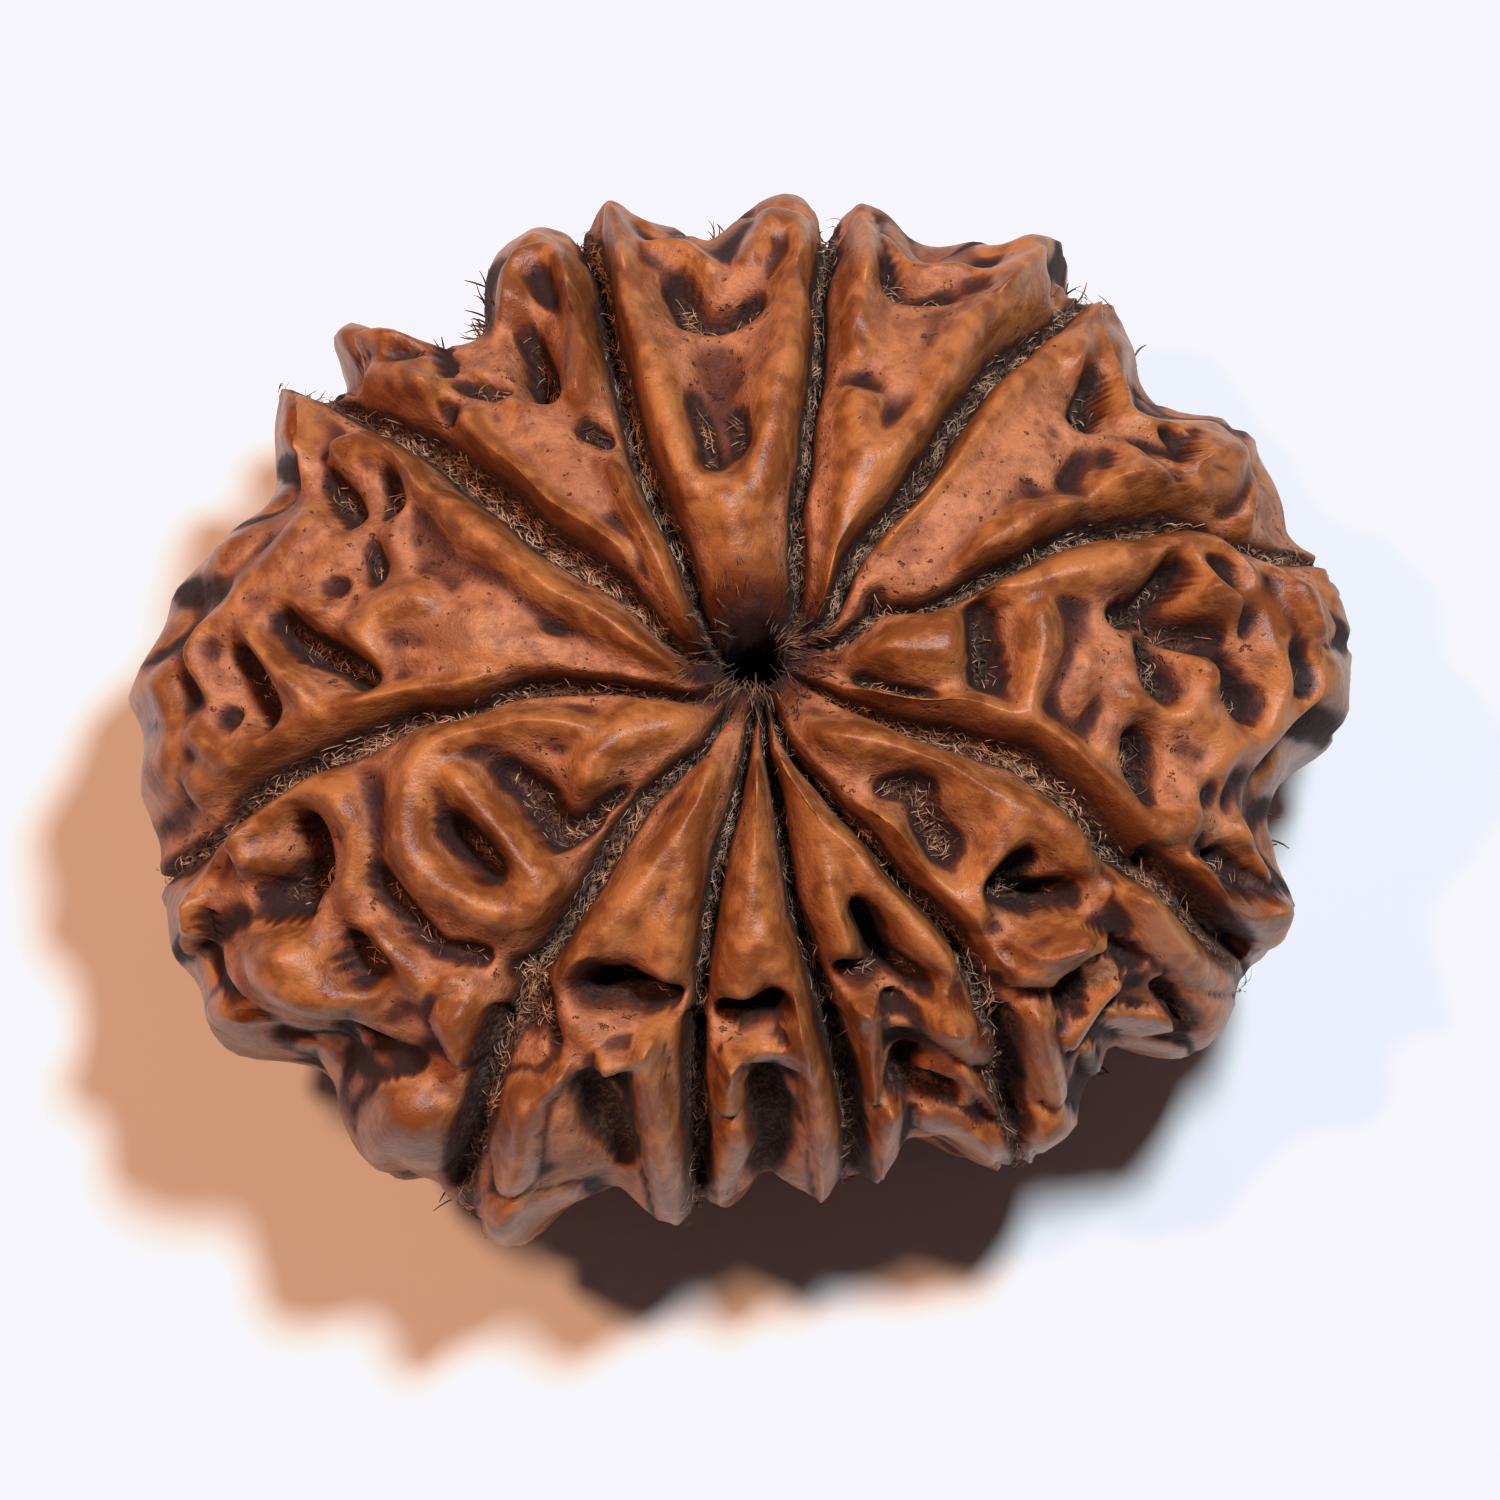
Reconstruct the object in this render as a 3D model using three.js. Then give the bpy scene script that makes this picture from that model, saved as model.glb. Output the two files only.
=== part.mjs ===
// An eleven mukhi rudraksha bead: the ridged stone of the fruit, bored through for a thread.
// Millimetres. +Z runs up along the thread hole, +X to the right of the photograph and +Y to its top.
import * as THREE from "three";

// How the photograph was taken: its pixels are turned into places on the bead with these
const HOLE_AXIS_PIXEL = [755, 716];
const PIXELS_PER_MM = 45.6;
const CAMERA_ELEVATION = THREE.MathUtils.degToRad(78.5);
const CAMERA_DISTANCE = 260;

// The bead over the tops of its ridges
const HALF_HEIGHT = 8.4;
const ROUNDNESS = 2.35;
const MEAN_RADIUS = 12;
const HOLE_RADIUS = 0.7;

// Its relief
const FLOOR_DEPTH = 0.85;
const GROOVE_DEPTH = 2.1;
const RIDGE_BLEND = 8;
const TRACED_WIDENING = 1.05;
const WORN_FOOT = 1.05;
const RIPPLE_HEIGHT = 0.13;

// The mesh: columns in a face between two grooves, and rings from the top of the hole to the bottom
const COLUMNS_IN_FACE = 12;
const RINGS = 49;
const SAMPLE_SPREAD = 0.12;

// The outline's lobes: direction in degrees from the right, distance in pixels from the hole axis
const OUTLINE = [
  [0, 602], [6, 606], [15, 594], [27, 574], [34, 547], [42, 529], [51, 552], [61, 562],
  [66, 530], [72, 522], [79, 532], [87, 530], [96, 522], [105, 542], [113, 536], [122, 514],
  [133, 554], [139, 574], [149, 568], [164, 578], [171, 600], [179, 632], [186, 624], [197, 618],
  [207, 608], [214, 625], [228, 592], [237, 599], [245, 589], [255, 547], [262, 525], [266, 502],
  [278, 499], [284, 494], [297, 509], [303, 514], [309, 518], [316, 542], [323, 562], [329, 564],
  [340, 580], [350, 587],
];

// The side's upright ridges, at the lobes of the outline: direction in degrees, half width in mm
const SIDE_LOBES = [
  [2, 0.75], [10, 0.6], [26, 0.75], [33, 0.5], [44, 0.65], [51, 0.5], [60, 0.7], [68, 0.5],
  [80, 0.6], [87, 0.7], [101, 0.45], [104, 0.5], [113, 0.55], [118, 0.6], [128, 0.5], [134, 0.6],
  [139, 0.6], [149, 0.75], [157, 0.6], [165, 0.65], [172, 0.6], [179, 0.6], [186, 0.75], [200, 0.7],
  [207, 0.6], [213, 0.75], [222, 0.6], [229, 0.7], [234, 0.6], [242, 0.7], [248, 0.6], [257, 0.6],
  [266, 0.55], [272, 0.5], [277, 0.55], [285, 0.55], [291, 0.5], [297, 0.55], [303, 0.5], [309, 0.6],
  [316, 0.6], [323, 0.7], [329, 0.55], [336, 0.7], [344, 0.7], [353, 0.7],
];

// What the photograph shows of the relief, read off it by eye. A point is [x pixel, y pixel, half width in
// pixels]. A ridge or pit is [height or depth in mm, its points]. A face is named by the grooves beside it.
const GROOVE_LINES = {
  A: [[795, 605, 8], [799, 540, 10], [801, 500, 10], [806, 455, 10], [811, 410, 9], [818, 365, 9],
    [825, 310, 10], [827, 265, 9], [829, 238, 8]],
  B: [[828, 606, 8], [850, 560, 10], [885, 511, 11], [915, 477, 12], [940, 442, 13], [960, 408, 12],
    [990, 368, 12], [1016, 338, 13], [1045, 315, 12], [1070, 296, 9]],
  C: [[840, 628, 8], [882, 598, 9], [930, 598, 6], [968, 577, 10], [1002, 556, 9], [1045, 543, 9],
    [1078, 527, 11], [1104, 515, 14], [1145, 511, 13], [1192, 505, 12], [1238, 511, 11], [1280, 530, 8]],
  D: [[845, 690, 7], [890, 708, 8], [930, 722, 12], [980, 735, 15], [1030, 748, 17], [1070, 778, 16],
    [1105, 812, 15], [1140, 850, 15], [1175, 880, 13], [1205, 912, 11], [1240, 955, 8]],
  E: [[785, 722, 6], [806, 757, 8], [835, 790, 9], [862, 825, 9], [888, 858, 9], [918, 892, 9],
    [948, 920, 10], [974, 950, 11], [990, 985, 12], [1003, 1030, 13], [1011, 1075, 13],
    [1017, 1120, 9], [1022, 1160, 6]],
  F: [[770, 745, 5], [777, 780, 7], [786, 830, 8], [794, 880, 9], [799, 925, 10], [809, 965, 11],
    [824, 1010, 12], [838, 1050, 11], [848, 1090, 9], [853, 1130, 8], [855, 1170, 7]],
  G: [[748, 745, 5], [738, 780, 7], [729, 820, 9], [719, 860, 10], [709, 905, 10], [702, 945, 10],
    [696, 985, 9], [691, 1030, 8], [691, 1075, 9], [692, 1120, 9], [693, 1165, 8], [697, 1195, 6]],
  H: [[702, 742, 6], [672, 765, 9], [640, 795, 12], [608, 840, 15], [585, 880, 14], [562, 915, 12],
    [540, 950, 13], [513, 985, 15], [497, 1025, 14], [486, 1070, 12], [475, 1115, 12], [460, 1165, 10]],
  I: [[700, 684, 6], [660, 681, 7], [615, 678, 8], [560, 678, 11], [515, 681, 12], [478, 695, 8],
    [440, 702, 10], [400, 708, 12], [360, 728, 15], [315, 750, 16], [270, 766, 14], [230, 788, 14],
    [195, 815, 14], [172, 840, 8]],
  J: [[692, 640, 6], [665, 622, 8], [640, 597, 11], [605, 568, 15], [570, 545, 18], [530, 520, 20],
    [490, 485, 21], [455, 455, 20], [425, 430, 20], [395, 412, 17], [368, 398, 12], [342, 390, 9]],
  K: [[717, 640, 6], [704, 605, 8], [690, 570, 10], [676, 535, 12], [662, 500, 13], [647, 465, 14],
    [632, 430, 14], [620, 395, 14], [610, 355, 13], [602, 315, 12], [595, 275, 11], [589, 238, 8]],
};

const RIDGES_KA = [
  [0.85, [[613, 212, 17], [618, 250, 20], [624, 290, 21], [634, 335, 21], [650, 380, 23], [664, 420, 22],
      [674, 455, 22], [694, 483, 25], [722, 497, 26]]],
  [0.85, [[800, 222, 19], [798, 260, 19], [797, 300, 19], [790, 340, 22], [780, 380, 24], [773, 420, 22],
      [768, 455, 22], [752, 482, 24], [728, 499, 26]]],
  [0.8, [[730, 500, 30], [738, 535, 32], [745, 570, 34], [750, 600, 24]]],
  [0.7, [[612, 212, 17], [640, 230, 15], [680, 238, 14], [706, 254, 13]]],
  [0.8, [[800, 212, 20], [780, 208, 20], [762, 235, 18], [748, 252, 12]]],
];
const PITS_KA = [
  [1.2, [[676, 262, 16], [694, 290, 19], [730, 288, 17], [752, 276, 11]]],
  [0.55, [[712, 340, 26], [716, 390, 22], [720, 440, 19]]],
  [0.9, [[688, 378, 5], [699, 415, 9], [706, 450, 8]]],
  [0.9, [[735, 398, 6], [742, 425, 8], [740, 440, 6]]],
];
const RIDGES_AB = [
  [0.8, [[858, 212, 17], [864, 250, 19], [864, 300, 18], [858, 340, 16]]],
  [0.75, [[858, 390, 20], [862, 440, 26], [862, 480, 26], [852, 520, 20], [840, 555, 15], [826, 590, 11]]],
  [0.8, [[1042, 262, 26], [1015, 285, 24], [985, 312, 22], [958, 345, 22], [945, 385, 22], [925, 415, 20],
      [895, 450, 22]]],
  [0.7, [[1060, 262, 16], [1032, 250, 20], [1000, 262, 16]]],
  [0.5, [[885, 225, 12], [912, 250, 9], [950, 250, 10], [990, 252, 12]]],
  [0.3, [[905, 320, 34], [915, 370, 34]]],
];
const PITS_AB = [
  [0.9, [[890, 248, 7], [906, 267, 11], [930, 273, 12], [950, 270, 10]]],
  [0.35, [[860, 322, 4], [866, 338, 5]]],
  [0.3, [[858, 366, 5], [880, 378, 4]]],
];
const RIDGES_BC = [
  [0.6, [[1072, 330, 22], [1040, 352, 18], [1008, 385, 16], [978, 425, 14], [950, 462, 12],
      [922, 500, 10], [890, 540, 9]]],
  [0.85, [[1100, 302, 15], [1092, 330, 20], [1085, 350, 16]]],
  [0.8, [[1104, 304, 14], [1120, 330, 14], [1130, 358, 14], [1130, 392, 14]]],
  [0.85, [[968, 552, 10], [990, 538, 16], [1015, 527, 19], [1048, 513, 19], [1084, 500, 12]]],
  [0.95, [[1112, 482, 17], [1145, 476, 22], [1178, 484, 12]]],
  [0.9, [[1136, 446, 12], [1148, 470, 18]]],
  [0.95, [[1200, 470, 20], [1222, 452, 25], [1240, 440, 20], [1238, 480, 14], [1190, 486, 12]]],
  [0.6, [[1150, 412, 12], [1175, 420, 12], [1205, 416, 13], [1235, 428, 14], [1255, 455, 14]]],
  [0.7, [[1262, 470, 13], [1268, 500, 13], [1268, 528, 12]]],
  [0.25, [[1000, 450, 44], [1050, 400, 40], [960, 500, 34]]],
];
const PITS_BC = [
  [1.7, [[1110, 358, 8], [1108, 384, 12], [1098, 405, 9]]],
  [0.8, [[880, 591, 12]]],
  [0.45, [[1180, 446, 4], [1208, 430, 5]]],
  [0.5, [[1158, 440, 6], [1178, 466, 4]]],
  [0.3, [[1064, 408, 5], [1070, 424, 5]]],
  [0.35, [[1034, 470, 4], [1044, 487, 5]]],
  [0.4, [[1076, 470, 6], [1095, 440, 6]]],
];
const RIDGES_CD = [
  [0.95, [[868, 648, 12], [900, 643, 22], [935, 640, 30], [950, 635, 28]]],
  [0.75, [[868, 686, 7], [905, 691, 8], [945, 696, 9], [985, 704, 11], [1020, 713, 13], [1050, 728, 15],
      [1085, 758, 16], [1112, 785, 16], [1140, 815, 19], [1172, 836, 20], [1200, 830, 16]]],
  [0.95, [[1040, 612, 20], [1043, 645, 19], [1036, 680, 14], [1034, 705, 12]]],
  [0.9, [[992, 590, 12], [1020, 578, 18], [1060, 572, 22], [1100, 566, 24], [1135, 556, 22],
      [1168, 544, 18], [1198, 533, 17], [1230, 538, 18], [1258, 560, 17], [1262, 588, 14]]],
  [0.95, [[1205, 562, 12], [1214, 582, 15], [1240, 603, 13]]],
  [0.85, [[1210, 650, 12], [1228, 676, 12]]],
  [0.9, [[1282, 560, 16], [1306, 590, 22], [1322, 630, 20], [1330, 680, 18], [1322, 725, 20],
      [1290, 750, 18], [1255, 745, 14]]],
  [0.7, [[1278, 625, 12], [1288, 660, 11], [1298, 695, 12], [1300, 730, 16]]],
  [0.6, [[1128, 694, 14], [1165, 704, 14], [1205, 712, 16], [1235, 735, 16], [1240, 765, 15],
      [1222, 800, 15], [1196, 828, 16]]],
  [0.75, [[1200, 862, 10], [1222, 890, 13], [1248, 918, 15], [1280, 915, 15]]],
  [0.8, [[1256, 832, 12], [1276, 862, 10], [1290, 895, 12]]],
  [0.35, [[1086, 690, 18], [1096, 655, 14]]],
  [0.4, [[1125, 655, 12], [1150, 662, 10]]],
  [0.4, [[1118, 725, 15], [1110, 750, 12]]],
  [0.5, [[1262, 945, 14], [1240, 935, 12]]],
];
const PITS_CD = [
  [1.4, [[984, 600, 8], [988, 635, 12], [995, 668, 15]]],
  [0.9, [[862, 668, 6], [890, 679, 7], [935, 689, 4]]],
  [1.9, [[1188, 566, 12], [1170, 592, 14], [1135, 606, 10]]],
  [1.9, [[1185, 612, 12], [1215, 625, 14], [1240, 628, 8]]],
  [1.1, [[1168, 636, 15], [1180, 668, 19], [1190, 688, 12]]],
  [0.6, [[1236, 564, 8]]],
  [0.9, [[1262, 616, 10]]],
  [1.5, [[1248, 663, 11], [1262, 688, 12], [1274, 706, 15]]],
  [0.8, [[1312, 662, 9], [1320, 684, 9]]],
  [1.3, [[1158, 745, 20], [1162, 768, 20], [1168, 798, 9]]],
  [0.5, [[1195, 752, 8]]],
  [0.8, [[1232, 794, 8], [1218, 803, 6]]],
  [0.6, [[1250, 812, 6]]],
  [1.4, [[1246, 872, 14], [1264, 886, 17]]],
  [0.8, [[1224, 850, 7], [1232, 865, 7]]],
  [0.35, [[1108, 690, 5], [1100, 725, 5]]],
];
const RIDGES_DE = [
  [0.9, [[820, 728, 10], [858, 736, 19], [905, 746, 15], [955, 768, 14], [1000, 796, 17], [1040, 816, 21],
      [1075, 838, 23], [1090, 862, 20]]],
  [0.75, [[868, 806, 7], [895, 828, 9], [918, 856, 11], [942, 884, 13], [966, 908, 14], [982, 932, 12]]],
  [0.8, [[1010, 830, 22], [996, 862, 22], [984, 895, 20], [982, 922, 14]]],
  [0.35, [[955, 795, 18], [985, 815, 18]]],
  [0.9, [[1012, 966, 22], [1042, 952, 20], [1078, 938, 19], [1096, 945, 14]]],
  [0.85, [[1018, 1014, 14], [1036, 1030, 19], [1044, 1066, 18], [1052, 1096, 16]]],
  [0.6, [[1064, 1040, 10], [1082, 1010, 10], [1110, 982, 11]]],
  [0.8, [[1038, 1124, 15], [1062, 1128, 16]]],
  [0.95, [[1128, 892, 20], [1146, 915, 24], [1162, 938, 22], [1182, 960, 25], [1208, 974, 24]]],
  [0.9, [[1205, 1000, 20], [1196, 1028, 20]]],
  [0.7, [[1120, 1012, 14], [1146, 1044, 16]]],
  [0.5, [[1092, 1062, 10]]],
  [0.5, [[1120, 972, 12], [1140, 985, 10]]],
];
const PITS_DE = [
  [0.85, [[893, 786, 12], [922, 786, 15], [930, 815, 17], [948, 842, 19]]],
  [1.9, [[1034, 868, 12], [1012, 895, 14], [1042, 905, 18], [1076, 900, 13]]],
  [1.4, [[1086, 968, 12], [1064, 998, 12]]],
  [1.7, [[1124, 946, 13], [1106, 952, 9]]],
  [1.3, [[1160, 994, 9], [1180, 1014, 9]]],
  [0.9, [[1098, 1010, 8], [1085, 1045, 7]]],
  [0.8, [[1005, 1002, 12]]],
];
const RIDGES_EF = [
  [0.85, [[782, 758, 7], [802, 798, 11], [820, 838, 15], [832, 880, 17], [838, 920, 19], [842, 950, 18]]],
  [0.9, [[806, 800, 8], [838, 838, 13], [866, 868, 16], [894, 898, 20], [922, 928, 22], [944, 955, 20],
      [954, 976, 15]]],
  [1.0, [[950, 1028, 22], [972, 1036, 21]]],
  [0.8, [[922, 1118, 14], [958, 1124, 17], [990, 1130, 19]]],
  [0.5, [[940, 1142, 12], [975, 1155, 10]]],
  [0.8, [[862, 1015, 17], [868, 1050, 13], [873, 1092, 12]]],
  [0.6, [[880, 1050, 9], [905, 1038, 8]]],
  [0.95, [[888, 1124, 17], [882, 1156, 18], [877, 1180, 13]]],
  [0.6, [[972, 1082, 9], [985, 1105, 9]]],
];
const PITS_EF = [
  [2.1, [[866, 912, 7], [876, 940, 12], [892, 970, 15], [925, 994, 10]]],
  [1.2, [[848, 985, 10], [880, 990, 8]]],
  [1.3, [[896, 1014, 9]]],
  [2.2, [[908, 1062, 14], [930, 1084, 16], [948, 1092, 10]]],
  [1.2, [[905, 1108, 7], [930, 1100, 8]]],
];
const RIDGES_FG = [
  [0.85, [[757, 762, 6], [757, 805, 10], [757, 850, 16], [753, 895, 23], [750, 935, 30], [742, 968, 30],
      [734, 990, 24]]],
  [0.85, [[770, 940, 20], [785, 978, 18], [799, 1014, 16], [812, 1052, 18], [823, 1092, 20],
      [829, 1132, 18], [831, 1168, 15], [829, 1192, 10]]],
  [0.95, [[725, 1072, 17], [727, 1098, 16]]],
  [0.75, [[728, 1064, 13], [756, 1054, 11], [782, 1056, 11]]],
  [0.8, [[720, 1138, 18], [719, 1162, 16]]],
  [0.6, [[722, 1190, 13], [738, 1172, 9], [756, 1135, 8]]],
  [0.5, [[768, 1158, 7], [800, 1182, 8], [822, 1200, 8]]],
];
const PITS_FG = [
  [1.6, [[722, 1026, 9], [748, 1028, 13], [772, 1014, 11]]],
  [2.2, [[772, 1082, 13], [778, 1108, 18]]],
  [1.3, [[790, 1132, 12], [808, 1158, 8]]],
  [0.8, [[716, 1118, 8]]],
  [1.0, [[768, 1142, 9]]],
];
const RIDGES_GH = [
  [0.85, [[706, 768, 13], [694, 808, 16], [686, 855, 17], [680, 900, 20], [670, 945, 24], [664, 974, 21]]],
  [0.85, [[690, 812, 14], [660, 858, 18], [626, 902, 22], [596, 938, 24], [570, 968, 21]]],
  [0.5, [[650, 905, 30], [628, 935, 26]]],
  [0.95, [[658, 1046, 21], [660, 1086, 21], [660, 1126, 19], [667, 1168, 21], [678, 1202, 20],
      [684, 1216, 16]]],
  [0.7, [[604, 1136, 8], [618, 1162, 10], [640, 1188, 14], [662, 1208, 14]]],
  [0.95, [[516, 1094, 20], [514, 1130, 25], [520, 1168, 23], [526, 1192, 18]]],
  [0.8, [[556, 1078, 14], [540, 1100, 12]]],
  [0.4, [[575, 1040, 18], [600, 1060, 14]]],
  [0.8, [[484, 1196, 14], [505, 1218, 18], [540, 1228, 14], [574, 1220, 13], [588, 1190, 9]]],
  [0.5, [[584, 1110, 11], [570, 1142, 13]]],
];
const PITS_GH = [
  [1.9, [[588, 1002, 10], [614, 990, 14], [642, 1004, 13], [668, 1010, 8]]],
  [1.6, [[606, 1090, 9], [618, 1120, 14], [634, 1156, 10]]],
  [1.2, [[570, 1190, 12]]],
  [0.8, [[530, 1030, 12], [540, 1058, 9]]],
];
const RIDGES_HI = [
  [0.6, [[680, 715, 20], [645, 718, 30], [612, 730, 26]]],
  [0.85, [[610, 735, 22], [588, 758, 20], [588, 780, 14]]],
  [0.85, [[575, 728, 14], [535, 722, 13], [495, 722, 13], [455, 732, 16], [420, 748, 20], [405, 780, 24],
      [400, 820, 20], [404, 855, 18], [428, 884, 20], [465, 904, 22], [500, 916, 22], [525, 916, 20]]],
  [0.95, [[452, 776, 14], [478, 806, 18], [504, 838, 20], [526, 868, 24], [538, 895, 22]]],
  [0.85, [[222, 850, 18], [232, 822, 18], [262, 800, 18], [300, 784, 20], [330, 795, 18], [345, 820, 13]]],
  [0.8, [[225, 845, 17], [245, 868, 16]]],
  [0.6, [[350, 838, 12], [345, 870, 12], [335, 905, 12]]],
  [0.95, [[285, 950, 30], [272, 985, 34], [300, 1012, 26]]],
  [0.75, [[322, 1012, 14], [352, 1008, 15], [374, 985, 13], [384, 955, 11], [368, 930, 10]]],
  [0.6, [[396, 965, 14], [408, 995, 16]]],
  [0.95, [[448, 998, 20], [456, 1030, 24], [464, 1066, 18]]],
  [0.9, [[448, 1108, 20], [425, 1130, 26], [402, 1150, 20]]],
  [0.6, [[430, 1192, 14], [452, 1178, 10]]],
  [0.6, [[182, 862, 11], [178, 905, 11], [186, 945, 11], [205, 985, 11]]],
  [0.6, [[215, 1000, 10], [232, 1035, 12], [275, 1055, 12]]],
  [0.4, [[340, 1105, 14], [350, 1130, 14]]],
];
const PITS_HI = [
  [1.6, [[444, 828, 12], [460, 848, 15], [482, 870, 10]]],
  [1.3, [[502, 768, 12], [530, 796, 19], [556, 830, 17], [585, 820, 12]]],
  [1.0, [[592, 806, 8], [618, 788, 8]]],
  [2.1, [[284, 836, 18], [290, 868, 20], [258, 896, 17], [240, 905, 12], [280, 905, 15]]],
  [1.2, [[346, 958, 11], [352, 978, 11], [368, 974, 9]]],
  [0.9, [[366, 880, 9], [388, 905, 11], [405, 940, 9], [425, 955, 8]]],
  [1.5, [[345, 1062, 9], [388, 1078, 14], [424, 1064, 9]]],
  [0.8, [[445, 960, 10], [470, 965, 9]]],
];
const RIDGES_IJ = [
  [0.95, [[335, 440, 22], [358, 428, 18], [385, 445, 12], [406, 468, 13], [420, 492, 10]]],
  [0.9, [[440, 498, 16], [468, 522, 18], [500, 550, 18], [535, 578, 16], [570, 600, 14], [605, 620, 15],
      [640, 640, 13], [668, 655, 9]]],
  [0.9, [[292, 396, 15], [290, 430, 16], [287, 462, 12]]],
  [0.7, [[412, 596, 20], [375, 606, 20], [350, 628, 18], [362, 655, 14]]],
  [0.65, [[475, 678, 12], [430, 682, 12], [385, 692, 12], [335, 706, 15], [285, 722, 15], [242, 745, 16],
      [205, 768, 20], [172, 788, 16]]],
  [0.75, [[226, 620, 9], [252, 648, 11], [276, 676, 13], [296, 700, 12]]],
  [0.75, [[215, 606, 10], [186, 620, 11], [172, 650, 12], [184, 690, 10]]],
  [0.45, [[296, 505, 24], [270, 545, 26], [225, 572, 22]]],
  [0.7, [[268, 588, 10], [292, 604, 12], [318, 600, 10]]],
  [0.8, [[172, 728, 18], [200, 745, 12]]],
  [0.8, [[136, 706, 12], [152, 712, 12]]],
  [0.7, [[152, 760, 14], [152, 790, 12]]],
  [0.35, [[330, 540, 18], [300, 560, 16]]],
  [0.35, [[470, 620, 40], [430, 640, 30], [540, 645, 26]]],
  [0.45, [[384, 500, 9], [376, 540, 9], [388, 570, 10]]],
];
const PITS_IJ = [
  [1.0, [[310, 466, 9], [322, 488, 13], [336, 505, 9]]],
  [0.9, [[374, 474, 13], [374, 494, 12]]],
  [0.7, [[356, 532, 6], [364, 562, 10]]],
  [1.0, [[322, 580, 9]]],
  [1.5, [[262, 616, 12], [284, 638, 16], [318, 652, 14], [350, 670, 12]]],
  [1.5, [[214, 652, 10], [228, 684, 18], [244, 712, 13]]],
  [1.0, [[204, 712, 9]]],
  [0.3, [[540, 622, 6], [560, 630, 5]]],
  [0.3, [[414, 640, 7]]],
  [0.3, [[286, 508, 4]]],
  [0.3, [[256, 580, 5]]],
  [0.6, [[160, 702, 5], [182, 696, 5]]],
];
const RIDGES_JK = [
  [0.75, [[458, 405, 14], [480, 438, 15], [512, 468, 15], [546, 498, 15], [582, 524, 14], [616, 546, 11]]],
  [0.75, [[612, 462, 11], [626, 498, 12], [642, 532, 12], [660, 565, 12], [678, 598, 11], [690, 625, 8]]],
  [0.95, [[508, 300, 14], [506, 272, 18], [528, 250, 18], [555, 244, 18], [568, 268, 15]]],
  [0.95, [[572, 285, 15], [577, 325, 17], [577, 360, 17], [572, 386, 13]]],
  [0.9, [[345, 340, 18], [375, 332, 18], [402, 335, 15], [420, 355, 11]]],
  [0.9, [[362, 366, 20], [396, 368, 20], [424, 380, 16]]],
  [0.6, [[465, 365, 10]]],
  [0.3, [[510, 420, 26], [550, 455, 26], [590, 490, 20]]],
  [0.5, [[500, 395, 10], [520, 405, 9]]],
];
const PITS_JK = [
  [1.9, [[514, 312, 12], [522, 344, 17], [532, 372, 12]]],
  [0.6, [[392, 344, 7], [412, 346, 6]]],
  [0.8, [[578, 412, 10], [598, 420, 9]]],
  [0.8, [[446, 368, 6], [490, 376, 8]]],
  [0.5, [[436, 395, 9]]],
];

const FACES = [
  { from: "K", to: "A", ridges: RIDGES_KA, pits: PITS_KA },
  { from: "A", to: "B", ridges: RIDGES_AB, pits: PITS_AB },
  { from: "B", to: "C", ridges: RIDGES_BC, pits: PITS_BC },
  { from: "C", to: "D", ridges: RIDGES_CD, pits: PITS_CD },
  { from: "D", to: "E", ridges: RIDGES_DE, pits: PITS_DE },
  { from: "E", to: "F", ridges: RIDGES_EF, pits: PITS_EF },
  { from: "F", to: "G", ridges: RIDGES_FG, pits: PITS_FG },
  { from: "G", to: "H", ridges: RIDGES_GH, pits: PITS_GH },
  { from: "H", to: "I", ridges: RIDGES_HI, pits: PITS_HI },
  { from: "I", to: "J", ridges: RIDGES_IJ, pits: PITS_IJ },
  { from: "J", to: "K", ridges: RIDGES_JK, pits: PITS_JK },
];
const GROOVES = Object.keys(GROOVE_LINES);
const TURN = 2 * Math.PI;

function mix(a, b, t) {
  return a + (b - a) * t;
}

function clamp(value, low, high) {
  return Math.min(high, Math.max(low, value));
}

// The turn from one direction to another, between minus and plus half a turn
function turnBetween(from, to) {
  const turn = to - from;
  return turn - TURN * Math.round(turn / TURN);
}

// A repeatable draw from 0 to 1
function chance(number) {
  const value = Math.sin(number * 12.9898 + 4.137) * 43758.5453;
  return value - Math.floor(value);
}

// The envelope's radius at each degree, smoothed over a few degrees
function smoothedOutline() {
  const reach = 12;
  const spread = 3.5;
  const rows = [...OUTLINE, [OUTLINE[0][0] + 360, OUTLINE[0][1]]];
  const raw = [];
  for (let degree = 0; degree < 360; degree += 1) {
    const after = rows.findIndex((row) => row[0] > degree);
    const [a, b] = [rows[after - 1], rows[after]];
    raw.push(mix(a[1], b[1], (degree - a[0]) / (b[0] - a[0])) / PIXELS_PER_MM);
  }
  return raw.map((_, degree) => {
    let sum = 0;
    let weights = 0;
    for (let step = -reach; step <= reach; step += 1) {
      const weight = Math.exp(-0.5 * (step / spread) ** 2);
      sum += weight * raw[(degree + step + 360) % 360];
      weights += weight;
    }
    return sum / weights;
  });
}

const OUTLINE_RADII = smoothedOutline();

function outlineRadius(azimuth) {
  const degrees = ((THREE.MathUtils.radToDeg(azimuth) % 360) + 360) % 360;
  const below = Math.floor(degrees) % 360;
  return mix(OUTLINE_RADII[below], OUTLINE_RADII[(below + 1) % 360], degrees - Math.floor(degrees));
}

// A place on the envelope: azimuth about the hole axis, and polar angle from its top, both in radians
function envelopePoint(azimuth, polar) {
  const out = outlineRadius(azimuth) * Math.max(0, Math.sin(polar)) ** (2 / ROUNDNESS);
  const up = HALF_HEIGHT * Math.sign(Math.cos(polar)) * Math.abs(Math.cos(polar)) ** (2 / ROUNDNESS);
  return new THREE.Vector3(out * Math.cos(azimuth), out * Math.sin(azimuth), up);
}

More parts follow.
